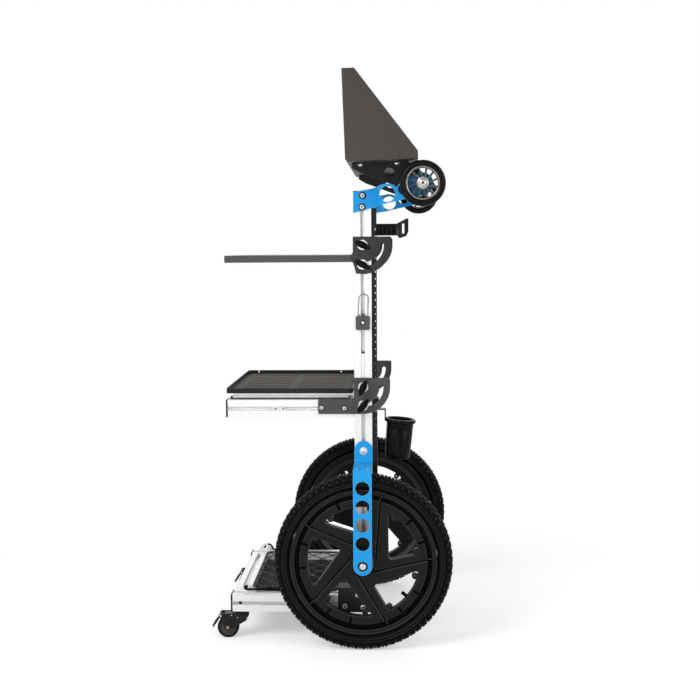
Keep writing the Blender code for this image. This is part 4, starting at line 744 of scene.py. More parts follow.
def tread_row(bm, place, radius, across, long, wide, deep, lean, phase):
    """A row of tapered tread blocks round the tyre."""
    count = 72
    part = bmesh.new()
    local = (Matrix.Rotation(phase, 4, "Z") @ Matrix.Translation((radius, 0, across))
             @ Matrix.Rotation(lean, 4, "Y"))
    top = [vert for vert in cube(part, Matrix.Identity(4), (deep, long, wide)) if vert.co.x > 0]
    bmesh.ops.scale(part, vec=(1.0, 0.80, 0.78), verts=top)
    bottom = [f for f in part.faces if f.calc_center_median().x < -0.4 * deep]
    bmesh.ops.delete(part, geom=bottom, context="FACES_ONLY")
    bmesh.ops.bevel(part, geom=[e for e in part.edges if all(v in top for v in e.verts)], offset=0.0005,
                    affect="EDGES", segments=1, profile=0.5, material=-1)
    bmesh.ops.transform(part, matrix=local, verts=part.verts)
    bmesh.ops.spin(part, geom=list(part.verts) + list(part.edges) + list(part.faces), cent=(0, 0, 0),
                   axis=(0, 0, 1), angle=2 * pi * (count - 1) / count, steps=count - 1, use_merge=False,
                   use_duplicate=True)
    bmesh.ops.transform(part, matrix=place, verts=part.verts)
    poured(bm, part)


black_tyre = tyre_rubber("block_tread_rubber")
# Lighter rubber painted on the raised rings and the tread blocks as their highlight.
tread_highlight = rubbed_plastic("tread_rubber_painted_highlight", (0.0050, 0.0049, 0.0048), 0.50, 1300.0, 0.00006,
                            (0.020, 0.019, 0.018), 0.22)
wall = [(0.1654, 0.0120), (0.1672, 0.0124), (0.1690, 0.0170), (0.1712, 0.0190), (0.1730, 0.0206),
        (0.1742, 0.0214), (0.1752, 0.0214), (0.1762, 0.0209), (0.1790, 0.0219), (0.1797, 0.0226),
        (0.1808, 0.0226), (0.1816, 0.0221), (0.1850, 0.0219), (0.1895, 0.0207), (0.1930, 0.0183),
        (0.1955, 0.0140), (0.1966, 0.0075)]
raised = ((0.1730, 0.1760), (0.1792, 0.1812))
tread_rows = ((0.1978, 0.0052, 0.0064, 0.0078, 0.0042, 0.0, 1.25),
              (0.1955, 0.0142, 0.0088, 0.0068, 0.0046, -0.50, -1.25),
              (0.1905, 0.0208, 0.0062, 0.0068, 0.0044, -1.05, 1.25))
valve = [(0.0, 0.0), (0.0062, 0.0), (0.0056, 0.0050), (0.0038, 0.0090), (0.0030, 0.0190),
         (0.0041, 0.0196), (0.0041, 0.0300), (0.0034, 0.0330), (0.0, 0.0334)]
for label, side in SIDES:
    centre = Vector((POST, side * wheel_y, axle_z))
    place = wheel_place(side, centre)
    bm = bmesh.new()
    turned(bm, mirrored(wall, [(0.1969, 0.0)]), place, 144)
    # The raised rings on the walls take the painted highlight.
    for f in bm.faces:
        reach = (f.calc_center_median() - centre).xz.length
        f.material_index = int(any(low < reach < high for low, high in raised))
    walls = len(bm.faces)
    for way in (-1, 1):
        for radius, across, long, wide, deep, lean, stagger in tread_rows:
            tread_row(bm, place, radius, way * across, long, wide, deep, way * lean,
                      radians(1.25 + stagger * way))
    bm.faces.ensure_lookup_table()
    # The tread blocks take the painted highlight.
    for f in bm.faces[walls:]:
        f.material_index = 1
    finished(bm, "tyre_shape_" + label, "main_wheel_" + label, [black_tyre, tread_highlight],
             35.0, "tyre_" + label)
    line = (place @ Matrix.Rotation(radians(-39.5), 4, "Z") @ Matrix.Translation((0.1440, 0, 0.0020))
            @ Matrix.Rotation(radians(-90.0), 4, "Y"))
    turned_piece("valve_" + label, "main_wheel_" + label, black_tyre, valve, [line], 24)


# Top arms
# Arms of 4 mm aluminium, blue powder coated, bolted to the heads of the uprights with two button
# heads each, set outwards by a joggle and pierced twice; they carry the small loading wheels.
for label, side in SIDES:
    broken_edges("top_arm_" + label, "frame", [blue_coat, blue_highlight], 0.0006)
    places = [facing((0, side, 0), (x, side * 0.2043, z))
              for x, z in ((POST + 0.0009, 1.0149), (POST - 0.0003, 0.9895))]
    bolted("arm_bolts_" + label, "frame", places, 0.0058, 0.0042, 0.0026)
    washer = [(0.0, 0.0), (0.0080, 0.0), (0.0080, 0.0008), (0.0076, 0.0012), (0.0, 0.0012)]
    turned_piece("arm_washers_" + label, "frame", black_moulding, washer, places, 32)


# Small loading wheels
# Wheels 100 mm across: a smooth black tyre moulded on a cast hub with twelve thin curved spokes,
# champagne coloured, turning on a bolt whose socket head shows in the hub's middle.
def cast_metal(name, colour):
    """Cast and tumbled alloy with a thin tinted finish."""
    material, tree = new_finish(name)
    around = stretched(tree)
    cloud = noise(tree, around, 70.0, 4.0)
    fine = noise(tree, around, 1100.0, 3.0)
    tone = blend_colours(tree, cloud, colour, shaded(colour, 0.68))
    return surfaced(material, tone, ramp(tree, cloud, 0.26, 0.44, 0.3, 0.7), fine, 0.00004, metal=0.9)


def wire(points, radius, cyclic=False):
    """A round rod along points."""
    curve = bpy.data.curves.new("wire", "CURVE")
    curve.dimensions = "3D"
    curve.bevel_depth = radius
    curve.bevel_resolution = 2
    curve.use_fill_caps = not cyclic
    spline = curve.splines.new("POLY")
    spline.points.add(len(points) - 1)
    for point, place in zip(spline.points, points):
        point.co = (*place, 1.0)
    spline.use_cyclic_u = cyclic
    return from_curve(curve)


champagne = cast_metal("cast_champagne", (0.62, 0.59, 0.54))
cast_grey = cast_metal("cast_grey", (0.34, 0.32, 0.295))
smooth_rubber = rubbed_plastic("smooth_black_rubber", (0.003, 0.003, 0.003), 0.32, 900.0, 0.00003,
                               (0.012, 0.012, 0.012), 0.15)
small_x, small_z = POST + 0.1333, 1.0376
ring = [(0.0361, -0.0108), (0.0361, 0.0108), (0.0352, 0.0112), (0.0334, 0.0106), (0.0326, 0.0092),
        (0.0326, -0.0092), (0.0334, -0.0106), (0.0352, -0.0112)]
hub = [(0.0054, -0.0140), (0.0112, -0.0140), (0.0130, -0.0120), (0.0140, -0.0060), (0.0140, 0.0060),
       (0.0130, 0.0108), (0.0112, 0.0122), (0.0054, 0.0126)]
sweep = [(0.0125, 0.0), (0.0180, 1.5), (0.0230, 4.5), (0.0280, 7.0), (0.0335, 8.0)]
shoulder = [(0.0363, 0.0100), (0.0380, 0.0113), (0.0410, 0.0120), (0.0440, 0.0119), (0.0465, 0.0108),
            (0.0486, 0.0085), (0.0497, 0.0052), (0.0500, 0.0020)]
spindle = [(0.0, 0.1983), (0.0078, 0.1983), (0.0085, 0.1990), (0.0085, 0.2060), (0.0050, 0.2060),
           (0.0050, 0.2806), (0.0, 0.2806)]
for label, side in SIDES:
    place = wheel_place(side, (small_x, side * 0.2653, small_z))
    bm = bmesh.new()
    turned(bm, ring, place, 72)
    turned(bm, hub, place, 48, 1)
    for i in range(12):
        points = [(r * cos(radians(30.0 * i + turn + 8.0)), r * sin(radians(30.0 * i + turn + 8.0)), 0.0)
                  for r, turn in sweep]
        spoke = wire(points, 0.0023)
        bmesh.ops.scale(spoke, vec=(1.0, 1.0, 2.4), verts=spoke.verts)
        added(bm, spoke, place @ Matrix.Translation((0, 0, 0.0025)))
    finished(bm, "small_rim_shape_" + label, "small_wheel_" + label,
             [cast_grey, champagne], 50.0, "small_rim_" + label)
    turned_piece("small_tyre_shape_" + label, "small_wheel_" + label, smooth_rubber,
                 mirrored(shoulder), [place], 96, 40.0, "small_tyre_" + label)
    bm = bmesh.new()
    turned(bm, spindle, facing((0, side, 0), (small_x, 0.0, small_z)), 32)
    bolt(bm, facing((0, side, 0), (small_x, side * 0.2800, small_z)), 0.0072, 0.0030, 0.0030)
    finished(bm, "small_axle_shape_" + label, "frame", [zinc],
             node="small_axle_" + label)


# Console box and its brackets
# Box for a mixing console, folded from 2 mm sheet and open to the operator, with return flanges
# punched for rack screws. Two plates under it, flanged and bolted, tilt on the small axles.
console_coat = painted("dark_textured_coat", (0.047, 0.041, 0.037), 0.40, 650.0, 0.00009,
                       (0.10, 0.092, 0.086), 0.22, 0.5)
# A darker coat painted on the console box's broken edges as their shade.
console_edge_shade = painted("console_painted_edge_shade", (0.028, 0.026, 0.024), 0.40, 650.0, 0.00006, (0.13, 0.125, 0.12),
                       0.3)
tilt = Matrix.Translation((small_x, 0.0, small_z)) @ Matrix.Rotation(radians(-2.0), 4, "Y")
lip, shoulder = Vector((-0.0080, 0.0, 0.0685)), Vector((-0.1380, 0.0, 0.2500))
slope = (shoulder - lip).normalized()
unit_height, rises = 0.04445, (0.00635, 0.022225, 0.0381)
punches = bmesh.new()
for label, side in SIDES:
    for unit in range(5):
        for rise in rises:
            spot = lip + slope * (0.0005 + unit * unit_height + rise) + Vector((0, side * 0.271, 0))
            cube(punches, tilt @ axes(slope, (0, 1, 0), spot), (0.0095, 0.0095, 0.020))
broken_edges("console_box", "console", [console_coat, console_edge_shade], 0.0006, punches)
for label, side in SIDES:
    broken_edges("console_bracket_" + label, "console", [strip_coat, black_edge_highlight], 0.0004)
places = [tilt @ Matrix.Translation((x, side * 0.2222, 0.0492)) @ Matrix.Rotation(pi, 4, "X")
          for label, side in SIDES for x in (-0.1345, -0.0545)]
bolted("console_bolts", "console", places, 0.0052, 0.0036, 0.0022, 0.0068)


# Upper shelf
# Folded from 3 mm steel with its edges turned down; side sheets run back outside the uprights as
# sectors with an arc slot, so it can be set at an angle or folded up.
# A lighter chipped coat: the middle shelf plates' own finish, and a painted sheen where the upper shelf takes
# it.
sheet_coat_and_sheen = painted("chipped_coat_and_painted_sheen", (0.058, 0.055, 0.051), 0.36, chipped=(0.095, 0.091, 0.086),
                     chips=0.25, gloss=0.4)
shelf = broken_edges("upper_shelf", "upper_shelf", [black_coat, black_edge_highlight, sheet_coat_and_sheen],
                     0.0007)
# Faces of the upper shelf's front side strip take the lighter coat as a painted sheen.
for polygon in shelf.data.polygons:
    if polygon.center.x < POST - 0.030 and abs(polygon.normal.z) < 0.5 and polygon.material_index == 0:
        polygon.material_index = 2


# Middle shelf
# Sector plates of 3 mm steel bolted to side rails of profile, which carry a sliding tray with a
# low rim and slots in its floor, on steel slides.
for label, side in SIDES:
    broken_edges("mid_plate_" + label, "middle_shelf", [sheet_coat_and_sheen, black_edge_highlight], 0.0006)
    spots = ((POST - 0.0945, 0.5395), (POST - 0.0425, 0.5383))
    bm = bmesh.new()
    for x, z in spots:
        bolt(bm, facing((0, side, 0), (x, side * 0.2035, z)), 0.0048, 0.0032, 0.0024)
    block(bm, (-0.1280, side * 0.1985 - 0.0018, 0.5335), (-0.0990, side * 0.1985 + 0.0018, 0.5415), 0.0006)
    finished(bm, "mid_bolts_" + label, "middle_shelf", [zinc])
    bm = bmesh.new()
    for x, z in spots:
        turned(bm, [(0.0, 0.0), (0.0066, 0.0), (0.0066, 0.0007), (0.0062, 0.0010), (0.0, 0.0010)],
               facing((0, side, 0), (x, side * 0.2034, z)), 32)
    for x in (-0.1215, -0.1045):
        turned(bm, [(0.0, 0.0), (0.0019, 0.0), (0.0015, 0.0008), (0.0, 0.0008)],
               facing((0, side, 0), (x, side * 0.2003, shelf_z)), 16)
    finished(bm, "mid_washers_" + label, "middle_shelf", [black_moulding])
matt_coat = painted("matt_tray_coat", (0.110, 0.102, 0.094), 0.75, 500.0, 0.00010, (0.13, 0.12, 0.115), 0.35,
                    0.08)
tray = broken_edges("tray", "tray",
                    [strip_coat, strip_coat, aluminium[0][0], matt_coat], 0.0004)
runner_top, floor_top = 0.5718, 0.5770
for polygon in tray.data.polygons:
    if polygon.center.z < runner_top:
        polygon.material_index = 2
    elif polygon.normal.z > 0.7 and polygon.center.z < floor_top:
        polygon.material_index = 3
places = [facing((0, -side, 0), (x, side * 0.1971, 0.5795)) for x in (-0.2069, 0.0072)
          for label, side in SIDES]
bolted("tray_screws", "tray", places, 0.0028, 0.0014, 0.0012)
beige_nylon = rubbed_plastic("beige_slide_end", (0.50, 0.42, 0.32), 0.45, 600.0, 0.00003, (0.6, 0.54, 0.45))
bm = bmesh.new()
for label, side in SIDES:
    block(bm, (-0.2262, side * rail_y - 0.0062, 0.5579), (-0.2215, side * rail_y + 0.0062, 0.5642), 0.0006)
    # A thin black bar under the runner, from end to end, is a painted shadow of the gap between runner and
    # rail.
    block(bm, (-0.2212, side * rail_y - 0.0068, 0.5580), (0.0438, side * rail_y + 0.0068, 0.5610), 0.0004)
    block(bm, (0.0440, side * rail_y - 0.0062, 0.5579), (0.0475, side * rail_y + 0.0062, 0.5642), 0.0006)
    block(bm, (0.0476, side * rail_y - 0.0058, 0.5581), (0.0530, side * rail_y + 0.0058, 0.5642), 0.0006,
          finish=1)
finished(bm, "slide_ends_and_shadow_bars", "middle_shelf", [black_moulding, beige_nylon])


# Wing knobs
# Moulded black wing knobs on steel studs and bright washers: at each side of a shelf one is the
# pivot and the other clamps the sector through its slot.
def wing_knob(node, height, tilt, side):
    """One knob: a lens-shaped wing on a tapered hub, riding on its own body."""
    name, body = node + "_shape", node
    place = facing((0, side, 0), (POST, 0.0, height))
    bm = bmesh.new()
    seat = 0.2038
    turned(bm, [(0.0, 0.1945), (0.0034, 0.1945), (0.0037, 0.1950), (0.0037, seat), (0.0, seat)], place, 24)
    turned(bm, [(0.0, seat), (0.0115, seat), (0.0115, seat + 0.0011), (0.0110, seat + 0.0015),
                (0.0, seat + 0.0015)], place, 40)
    finished(bm, name + "_washer", body, [zinc])
    bm = bmesh.new()
    hub = [(0.0, 0.0015), (0.0076, 0.0015), (0.0078, 0.0024), (0.0062, 0.0110), (0.0, 0.0116)]
    turned(bm, [(r, seat + z) for r, z in hub], place, 32)
    half_length, half_width = 0.021, 0.0075
    bow = (half_length ** 2 + half_width ** 2) / (2 * half_width)
    spread = atan2(half_length, bow - half_width) * 180.0 / pi
    lens = arc_points(bow, -spread, spread, 10, (half_width - bow, 0.0))
    lens += arc_points(bow, 180.0 - spread, 180.0 + spread, 10, (bow - half_width, 0.0))[1:-1]
    wing = cut_sheet([lens], 0.0100, 0.0030, 3)
    bmesh.ops.translate(wing, vec=(0, 0, seat + 0.0130), verts=wing.verts)
    for vert in wing.verts:
        if vert.co.z > seat + 0.0140:
            vert.co.z -= 0.0035 * (vert.co.y / half_length) ** 2
    lean = Matrix.Rotation(side * radians(90.0 - tilt), 4, "Z")
    added(bm, wing, wheel_place(side, (POST, 0.0, height)) @ lean)
    finished(bm, name, body, [deep_black], 40.0, node)


deep_black = rubbed_plastic("deep_black_moulding", (0.0016, 0.0016, 0.0016), 0.34, 500.0, 0.00004,
                            (0.005, 0.005, 0.005), 0.12)
for place_name, height, tilt in (("upper_pivot", 0.9055, -28.0), ("upper_clamp", 0.8620, -30.0),
                                 ("middle_pivot", 0.5865, 65.0), ("middle_clamp", 0.5450, 52.0)):
    for label, side in SIDES:
        wing_knob(f"knob_{place_name}_{label}", height, tilt, side)


# Pole cup
# Moulded black cup with a thick rim that holds the foot of a boom pole. It leans back on a hook of
# 3 mm strap, screwed to the rear of the rack strip.
leaning = Matrix.Translation((POST + 0.0838, -rail_y, 0.512)) @ Matrix.Rotation(radians(5.0), 4, "Y")
cup = [(0.0, -0.0900), (0.0245, -0.0900), (0.0268, -0.0893), (0.0279, -0.0875), (0.0284, -0.0780),
       (0.0289, -0.0776), (0.0301, -0.0240), (0.0296, -0.0232), (0.0296, -0.0222), (0.0302, -0.0214),
       (0.0304, -0.0084), (0.0335, -0.0082), (0.0348, -0.0072), (0.0350, -0.0030), (0.0343, -0.0009),
       (0.0325, 0.0), (0.0290, -0.0002), (0.0275, -0.0018), (0.0272, -0.0040), (0.0252, -0.0850),
       (0.0, -0.0850)]
turned_piece("cup_shape", "frame", deep_black, cup, [leaning], 72, 35.0, "pole_cup")
bm = bmesh.new()
path = [(0.0316, 0.5615), (0.0346, 0.5615), (0.0346, 0.5355), (0.0508, 0.5355), (0.0508, 0.5085),
        (0.0478, 0.5085), (0.0478, 0.5325), (0.0316, 0.5325)]
strap = cut_sheet([filleted([(x, z, 0.0) for x, z in path], (3, 7), 0.0028)], 0.018, 0.0004)
added(bm, strap, axes((1, 0, 0), (0, 0, 1), (POST, -rail_y, 0.0)))
finished(bm, "cup_strap", "frame", [black_coat])
places = [facing((1, 0, 0), (POST + 0.0345, -rail_y, z)) for z in (0.5425, 0.5545)]
bolted("cup_screws", "frame", places, 0.0042, 0.0022, 0.0018)


# Pole clip
# Rubber grip with rounded ribs for the pole, screwed to the rack strip, and at its end a flared
# black frame with a slot for a strap.
bm = bmesh.new()
start, length, half, low, tall = POST + 0.0316, 0.046, 0.0085, 0.9262, 0.0262
ribs = []
for way in (1, -1):
    for i in range(5):
        middle = (i + 0.5) * length / 5 if way > 0 else length - (i + 0.5) * length / 5
        ribs += [(middle - way * 0.0046 * cos(radians(a)), way * (half + 0.0034 * sin(radians(a))))
                 for a in range(0, 181, 30)]
    if way > 0:
        ribs += [(length, half), (length, -half)]
grip = cut_sheet([ribs], tall, 0.0012, 2)
added(bm, grip, Matrix.Translation((start, -rail_y, low + tall / 2)))
finished(bm, "clip_grip", "frame", [smooth_rubber], 35.0, "pole_clip")
bm = bmesh.new()
end, base, top = 0.0460, 0.926, 0.9535
outline = [(end - 0.003, base + 0.002), (end - 0.003, top - 0.002), (end + 0.003, top + 0.001),
           (end + 0.021, top + 0.0105), (end + 0.0252, top + 0.0105), (end + 0.0252, base + 0.010),
           (end + 0.021, base - 0.001), (end + 0.005, base - 0.0062), (end, base)]
outline = filleted([(x, z, 0.0) for x, z in outline], (3, 4, 5, 6, 7), 0.0015)
frame_end = cut_sheet([outline, oblong((end + 0.0135, 0.9415), 0.005, 0.022)], 0.021, 0.0012, 2)
added(bm, frame_end, axes((1, 0, 0), (0, 0, 1), (start, -rail_y, 0.0)))
finished(bm, "clip_frame", "frame", [black_moulding], 35.0)


# Hook block and wire loop
# A cast block on the left upright's slot, grey and grained, held by one screw in a dark ring, with
# a lug that carries a loop of stainless wire; the loop folds down.
grey_casting = painted("grey_casting", (0.088, 0.088, 0.098), 0.55, 420.0, 0.00016, (0.16, 0.16, 0.17), 0.5)
# A darker grey painted on the hook block's broken edges as their shade.
casting_edge_shade = painted("grey_casting_painted_edge_shade", (0.030, 0.030, 0.034), 0.45, 420.0, 0.00010, (0.2, 0.2, 0.2), 0.4)
broken_edges("hook_block", "frame", [grey_casting, casting_edge_shade], 0.0008)
spot = facing((0, -1, 0), (POST + 0.0004, -0.2112, 0.7323))
washer = [(0.0, 0.0), (0.0058, 0.0), (0.0058, 0.0008), (0.0052, 0.0012), (0.0, 0.0012)]
turned_piece("hook_ring", "frame", black_moulding, washer, [spot], 32)
bolted("hook_screw", "frame", [spot @ Matrix.Translation((0.0, 0.0, 0.0011))], 0.0034, 0.0016, 0.0012)
stainless = plated_steel("stainless_wire", (0.36, 0.33, 0.30), 0.30)
bow = [(-0.0105, 0.0), (-0.0105, 0.0370)]
bow += [(-0.0020 - 0.0085 * cos(radians(a)), 0.0375 + 0.0085 * sin(radians(a))) for a in (15, 35, 55, 75, 90)]
bow += [(0.0020 + 0.0085 * sin(radians(a)), 0.0375 + 0.0085 * cos(radians(a))) for a in (0, 15, 35, 55, 75)]
bow += [(0.0105, 0.0370), (0.0110, 0.0)]
bm = bmesh.new()
added(bm, wire([(POST + x + 0.055 * z, -0.2058, 0.7493 + z) for x, z in bow], 0.0013, True))
finished(bm, "loop_shape", "wire_loop", [stainless], 60.0, "wire_loop")


# Platform
# The rails carry a panel of black film-faced plywood in their slots, its film printed with a fine
# mesh for grip. Corner blocks and plates, bolted, tie the rails to the uprights.
def meshed_film(name):
    """Phenolic film on plywood: raised mesh, worn dull where loads slide, a little brown."""
    material, tree = new_finish(name)
    slanted = add_node(tree, "ShaderNodeMapping",
                       {"Vector": stretched(tree), "Rotation": (0.0, 0.0, radians(45.0))})
    across, along = [add_node(tree, "ShaderNodeTexWave", {"Vector": slanted.outputs["Vector"], "Scale": 55.0},
                              bands_direction=way) for way in "XY"]
    mesh = add_node(tree, "ShaderNodeMath", {0: across.outputs["Fac"], 1: along.outputs["Fac"]},
                    operation="MAXIMUM")
    worn = noise(tree, stretched(tree), 18.0, 5.0, 0.8)
    shade = blend_colours(tree, ramp(tree, mesh.outputs[0], 0.0, 1.0, 0.5, 1.0), (0.006, 0.0055, 0.005),
                          (0.012, 0.0105, 0.009))
    tone = blend_colours(tree, ramp(tree, worn, 0.0, 0.5, 0.55, 0.75), shade, (0.022, 0.019, 0.017))
    return surfaced(material, tone, ramp(tree, worn, 0.50, 0.70, 0.3, 0.7), mesh.outputs[0], 0.00030, 0.10)


film = meshed_film("meshed_film")
ply_edge = rubbed_plastic("sealed_ply_edge", (0.020, 0.014, 0.010), 0.55, 500.0, 0.00008)
broken_edges("floor_panel", "frame", [film, ply_edge], 0.0005)
slate_coat = painted("slate_coat", (0.022, 0.025, 0.029), 0.40, 800.0, 0.00005, (0.09, 0.09, 0.09), 0.3)
# A lighter slate painted on the rear brackets' broken edges as their highlight.
slate_painted_edge_highlight = painted("slate_painted_edge_highlight", (0.060, 0.062, 0.066), 0.36, 800.0, 0.00003)
for label, side in SIDES:
    broken_edges("rear_bracket_" + label, "frame", [slate_coat, slate_painted_edge_highlight], 0.0006)
    spots = ((POST - 0.0446, 0.0810), (POST - 0.0033, 0.0790))
    places = [facing((0, side, 0), (x, side * 0.2033, z)) for x, z in spots]
    bolted("rear_bolts_" + label, "frame", places, 0.0050, 0.0028, 0.0022, 0.0062)
screw = [(0.0, 0.0), (0.0036, 0.0), (0.0036, 0.0016), (0.0030, 0.0024), (0.0014, 0.0024),
         (0.0012, 0.0012), (0.0, 0.0012)]
places = [facing((0, side, 0), (-0.2094, side * 0.1960, 0.0863)) for label, side in SIDES]
turned_piece("rail_screws", "frame", strip_coat, screw, places, 24)


# Cargo net
# Elastic cord net over the platform: a thick border, diamonds tied at each crossing, and at the
# front corners black hooks in crimped sleeves that hold in the holes of the rails' ears.
def braided_cord(name, colour):
    """Braided sleeve over rubber: slanting threads and a soft sheen."""
    material, tree = new_finish(name)
    around = stretched(tree)
    threads = add_node(tree, "ShaderNodeTexWave", {"Vector": around, "Scale": 420.0, "Distortion": 1.5},
                       bands_direction="DIAGONAL")
    fuzz = noise(tree, around, 900.0, 3.0)
    shade = blend_colours(tree, threads.outputs["Fac"], shaded(colour, 0.55), colour)
    tone = blend_colours(tree, ramp(tree, fuzz, 0.0, 0.4, 0.5, 0.7), shade, shaded(colour, 1.6))
    tree.nodes["Principled BSDF"].inputs["Sheen Weight"].default_value = 0.25
    return surfaced(material, tone, ramp(tree, fuzz, 0.70, 0.88), threads.outputs["Fac"], 0.00020, 0.2)


grey_cord = braided_cord("braided_cord", (0.050, 0.047, 0.043))
black_cord = braided_cord("braided_border", (0.014, 0.013, 0.012))
net_x, net_half_x, net_half_y, level = POST - 0.165, 0.101, 0.170, 0.1082


def sagging(x, y):
    """A point of the net, lower towards its middle."""
    spare = (1.0 - (x / net_half_x) ** 2) * (1.0 - (y / net_half_y) ** 2)
    return Vector((net_x + x, y, level - 0.0045 * max(spare, 0.0)))


bm = bmesh.new()
corner = 0.012
ring = []
for turn, (way_x, way_y) in enumerate(((1, 1), (-1, 1), (-1, -1), (1, -1))):
    middle = (way_x * (net_half_x - 0.0022 - corner), way_y * (net_half_y - 0.0022 - corner))
    ring += [sagging(point.x, point.y)
             for point in arc_points(corner, 90.0 * turn, 90.0 * turn + 90.0, 6, middle)]
added(bm, wire(ring, 0.0022, True), finish=1)
step_x, step_y = (net_half_x - 0.0030) / 4, (net_half_y - 0.0030) / 6
lines = [((i, 0), (1, 1)) for i in range(0, 8, 2)] + [((0, j), (1, 1)) for j in range(2, 12, 2)]
lines += [((i, 0), (-1, 1)) for i in range(2, 9, 2)] + [((8, j), (-1, 1)) for j in range(2, 12, 2)]
crossings = set()
for (i, j), (way_x, way_y) in lines:
    points = []
    while 0 <= i <= 8 and 0 <= j <= 12:
        lift = 0.0007 * way_x
        points.append(sagging((i - 4) * step_x, (j - 6) * step_y) + Vector((0, 0, lift)))
        if 0 < i < 8 and 0 < j < 12:
            crossings.add((i, j))
        middle_x, middle_y = i + 0.5 * way_x, j + 0.5 * way_y
        if 0 <= middle_x <= 8 and 0 <= middle_y <= 12:
            points.append(sagging((middle_x - 4) * step_x, (middle_y - 6) * step_y))
        i, j = i + way_x, j + way_y
    added(bm, wire(points, 0.0012))
for i, j in sorted(crossings):
    knot = [(0.0, -0.0022), (0.0019, -0.0016), (0.0027, 0.0), (0.0019, 0.0016), (0.0, 0.0022)]
    turned(bm, knot, Matrix.Translation(sagging((i - 4) * step_x, (j - 6) * step_y)), 10)
finished(bm, "net_shape", "frame", [grey_cord, black_cord], 60.0, "cargo_net")
near_hook = [(-0.1953, 0.1758, 0.1180), (-0.1953, 0.1800, 0.1190), (-0.1962, 0.1838, 0.1212),
             (-0.1985, 0.1852, 0.1218), (-0.2004, 0.1856, 0.1196), (-0.1998, 0.1856, 0.1164),
             (-0.1960, 0.1856, 0.1144), (-0.1870, 0.1854, 0.1140), (-0.1720, 0.1846, 0.1142),
             (-0.1600, 0.1800, 0.1140), (-0.1520, 0.1740, 0.1128), (-0.1450, 0.1700, 0.1122)]
far_hook = [(-0.1953, 0.1760, 0.1186), (-0.1953, 0.1800, 0.1190), (-0.1945, 0.1838, 0.1204),
            (-0.1910, 0.1858, 0.1228), (-0.1860, 0.1850, 0.1246), (-0.1810, 0.1812, 0.1242),
            (-0.1770, 0.1762, 0.1210), (-0.1735, 0.1722, 0.1164), (-0.1690, 0.1700, 0.1134),
            (-0.1600, 0.1692, 0.1122), (-0.1500, 0.1690, 0.1118)]
sleeve = [(0.0, 0.0), (0.0030, 0.0), (0.0042, 0.0012), (0.0050, 0.0030), (0.0050, 0.0120),
          (0.0043, 0.0132), (0.0043, 0.0146), (0.0050, 0.0158), (0.0050, 0.0210), (0.0043, 0.0222),
          (0.0043, 0.0236), (0.0050, 0.0248), (0.0050, 0.0330), (0.0040, 0.0350), (0.0, 0.0350)]
bm = bmesh.new()
for side, hook in ((-1, near_hook), (1, far_hook)):
    added(bm, wire([(x, side * y, z) for x, y, z in hook], 0.0025))
    turned(bm, sleeve, facing((1, 0, -0.05), (-0.1530, side * 0.1690, 0.1122)), 32)
finished(bm, "net_hooks", "frame", [deep_black], 40.0)


# Casters
# Twin-plate swivel casters under the platform's front corners: pressed black fork, grey-sided wheel
# on a riveted pin and a brake pedal hinged between the cheeks.
grey_side = rubbed_plastic("grey_wheel_side", (0.055, 0.056, 0.058), 0.38, 600.0, 0.00004, (0.2, 0.2, 0.2),
                           0.4)
fork_coat = painted("fork_coat", (0.004, 0.004, 0.004), 0.32, 900.0, 0.00003, (0.04, 0.04, 0.04), 0.3)
# A lighter coat painted on the casters' broken edges as their highlight.
fork_painted_edge_highlight = painted("fork_painted_edge_highlight", (0.040, 0.038, 0.036), 0.32)
pedal_top = rubbed_plastic("worn_pedal", (0.055, 0.050, 0.043), 0.38, 500.0, 0.00006, (0.16, 0.15, 0.13), 0.4)
bronze = plated_steel("bronze_pin", (0.42, 0.27, 0.20), 0.34)
caster_x, caster_z = -0.2401, 0.025
tread = [(0.0192, 0.0088), (0.0225, 0.0090), (0.0240, 0.0084), (0.0248, 0.0068), (0.0250, 0.0040)]
hub = [(0.0035, 0.0088), (0.0070, 0.0088), (0.0076, 0.0070), (0.0146, 0.0066), (0.0152, 0.0082),
       (0.0160, 0.0084), (0.0166, 0.0066), (0.0192, 0.0070)]
pin = [(0.0, 0.0), (0.0042, 0.0), (0.0040, 0.0008), (0.0030, 0.0014), (0.0, 0.0016)]
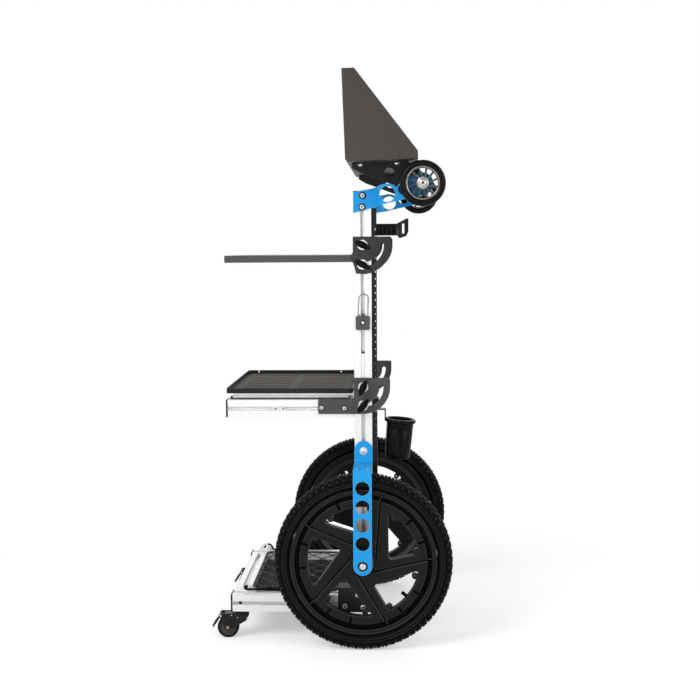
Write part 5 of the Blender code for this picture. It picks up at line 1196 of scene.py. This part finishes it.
flap = [(-0.0030, -0.0018), (0.0100, -0.0016), (0.0336, -0.0014), (0.0341, 0.0002), (0.0325, 0.0016),
        (0.0290, 0.0032), (0.0240, 0.0038), (0.0160, 0.0034), (0.0060, 0.0030), (-0.0010, 0.0032),
        (-0.0032, 0.0012)]
droop = radians(56.0)
along = Vector((-cos(droop), 0.0, -sin(droop)))
away = Vector((-sin(droop), 0.0, cos(droop)))
for label, side in SIDES:
    broken_edges("caster_plate_" + label, "frame", [fork_coat, fork_painted_edge_highlight], 0.0005)
    broken_edges("caster_fork_" + label, "caster_" + label, [fork_coat, fork_painted_edge_highlight], 0.0006)
    bm = bmesh.new()
    for way in (-1, 1):
        for x, z, size in ((-0.2566, 0.0530, 0.0026), (-0.2310, 0.0545, 0.0016), (-0.2170, 0.0500, 0.0018)):
            turned(bm, [(0.0, 0.0), (size, 0.0), (0.8 * size, 0.0006), (0.0, 0.0010)],
                   facing((0, way, 0), (x, side * rail_y + way * 0.0134, z)), 20)
    finished(bm, "fork_rivets_" + label, "caster_" + label, [zinc])
    places = [facing((0, way, 0), (caster_x, side * rail_y + way * 0.0134, caster_z)) for way in (-1, 1)]
    turned_piece("fork_pin_" + label, "caster_" + label, bronze, pin, places, 24)
    bm = bmesh.new()
    wheel = Matrix.Translation((caster_x, side * rail_y, caster_z)) @ Matrix.Rotation(pi / 2, 4, "X")
    turned(bm, mirrored(tread), wheel, 64)
    turned(bm, mirrored(hub), wheel, 64, 1)
    finished(bm, "caster_wheel_shape_" + label, "caster_wheel_" + label,
             [smooth_rubber, grey_side], 30.0, "caster_wheel_" + label)
    bm = bmesh.new()
    hinge = axes(along, away, (-0.25662, side * rail_y, 0.053))
    added(bm, cut_sheet([flap], 0.0188, 0.0008, 2), hinge)
    for i in range(4):
        block(bm, (0.0160 + 0.0040 * i, 0.0030, -0.0080), (0.0176 + 0.0040 * i, 0.0042 - 0.0003 * i, 0.0080),
              0.0003, hinge, 1)
    bm.normal_update()
    for f in bm.faces:
        if f.normal.dot(away) > 0.6:
            f.material_index = 1
    finished(bm, "pedal_shape_" + label, "pedal_" + label, [fork_coat, pedal_top], 35.0,
             "brake_pedal_" + label)
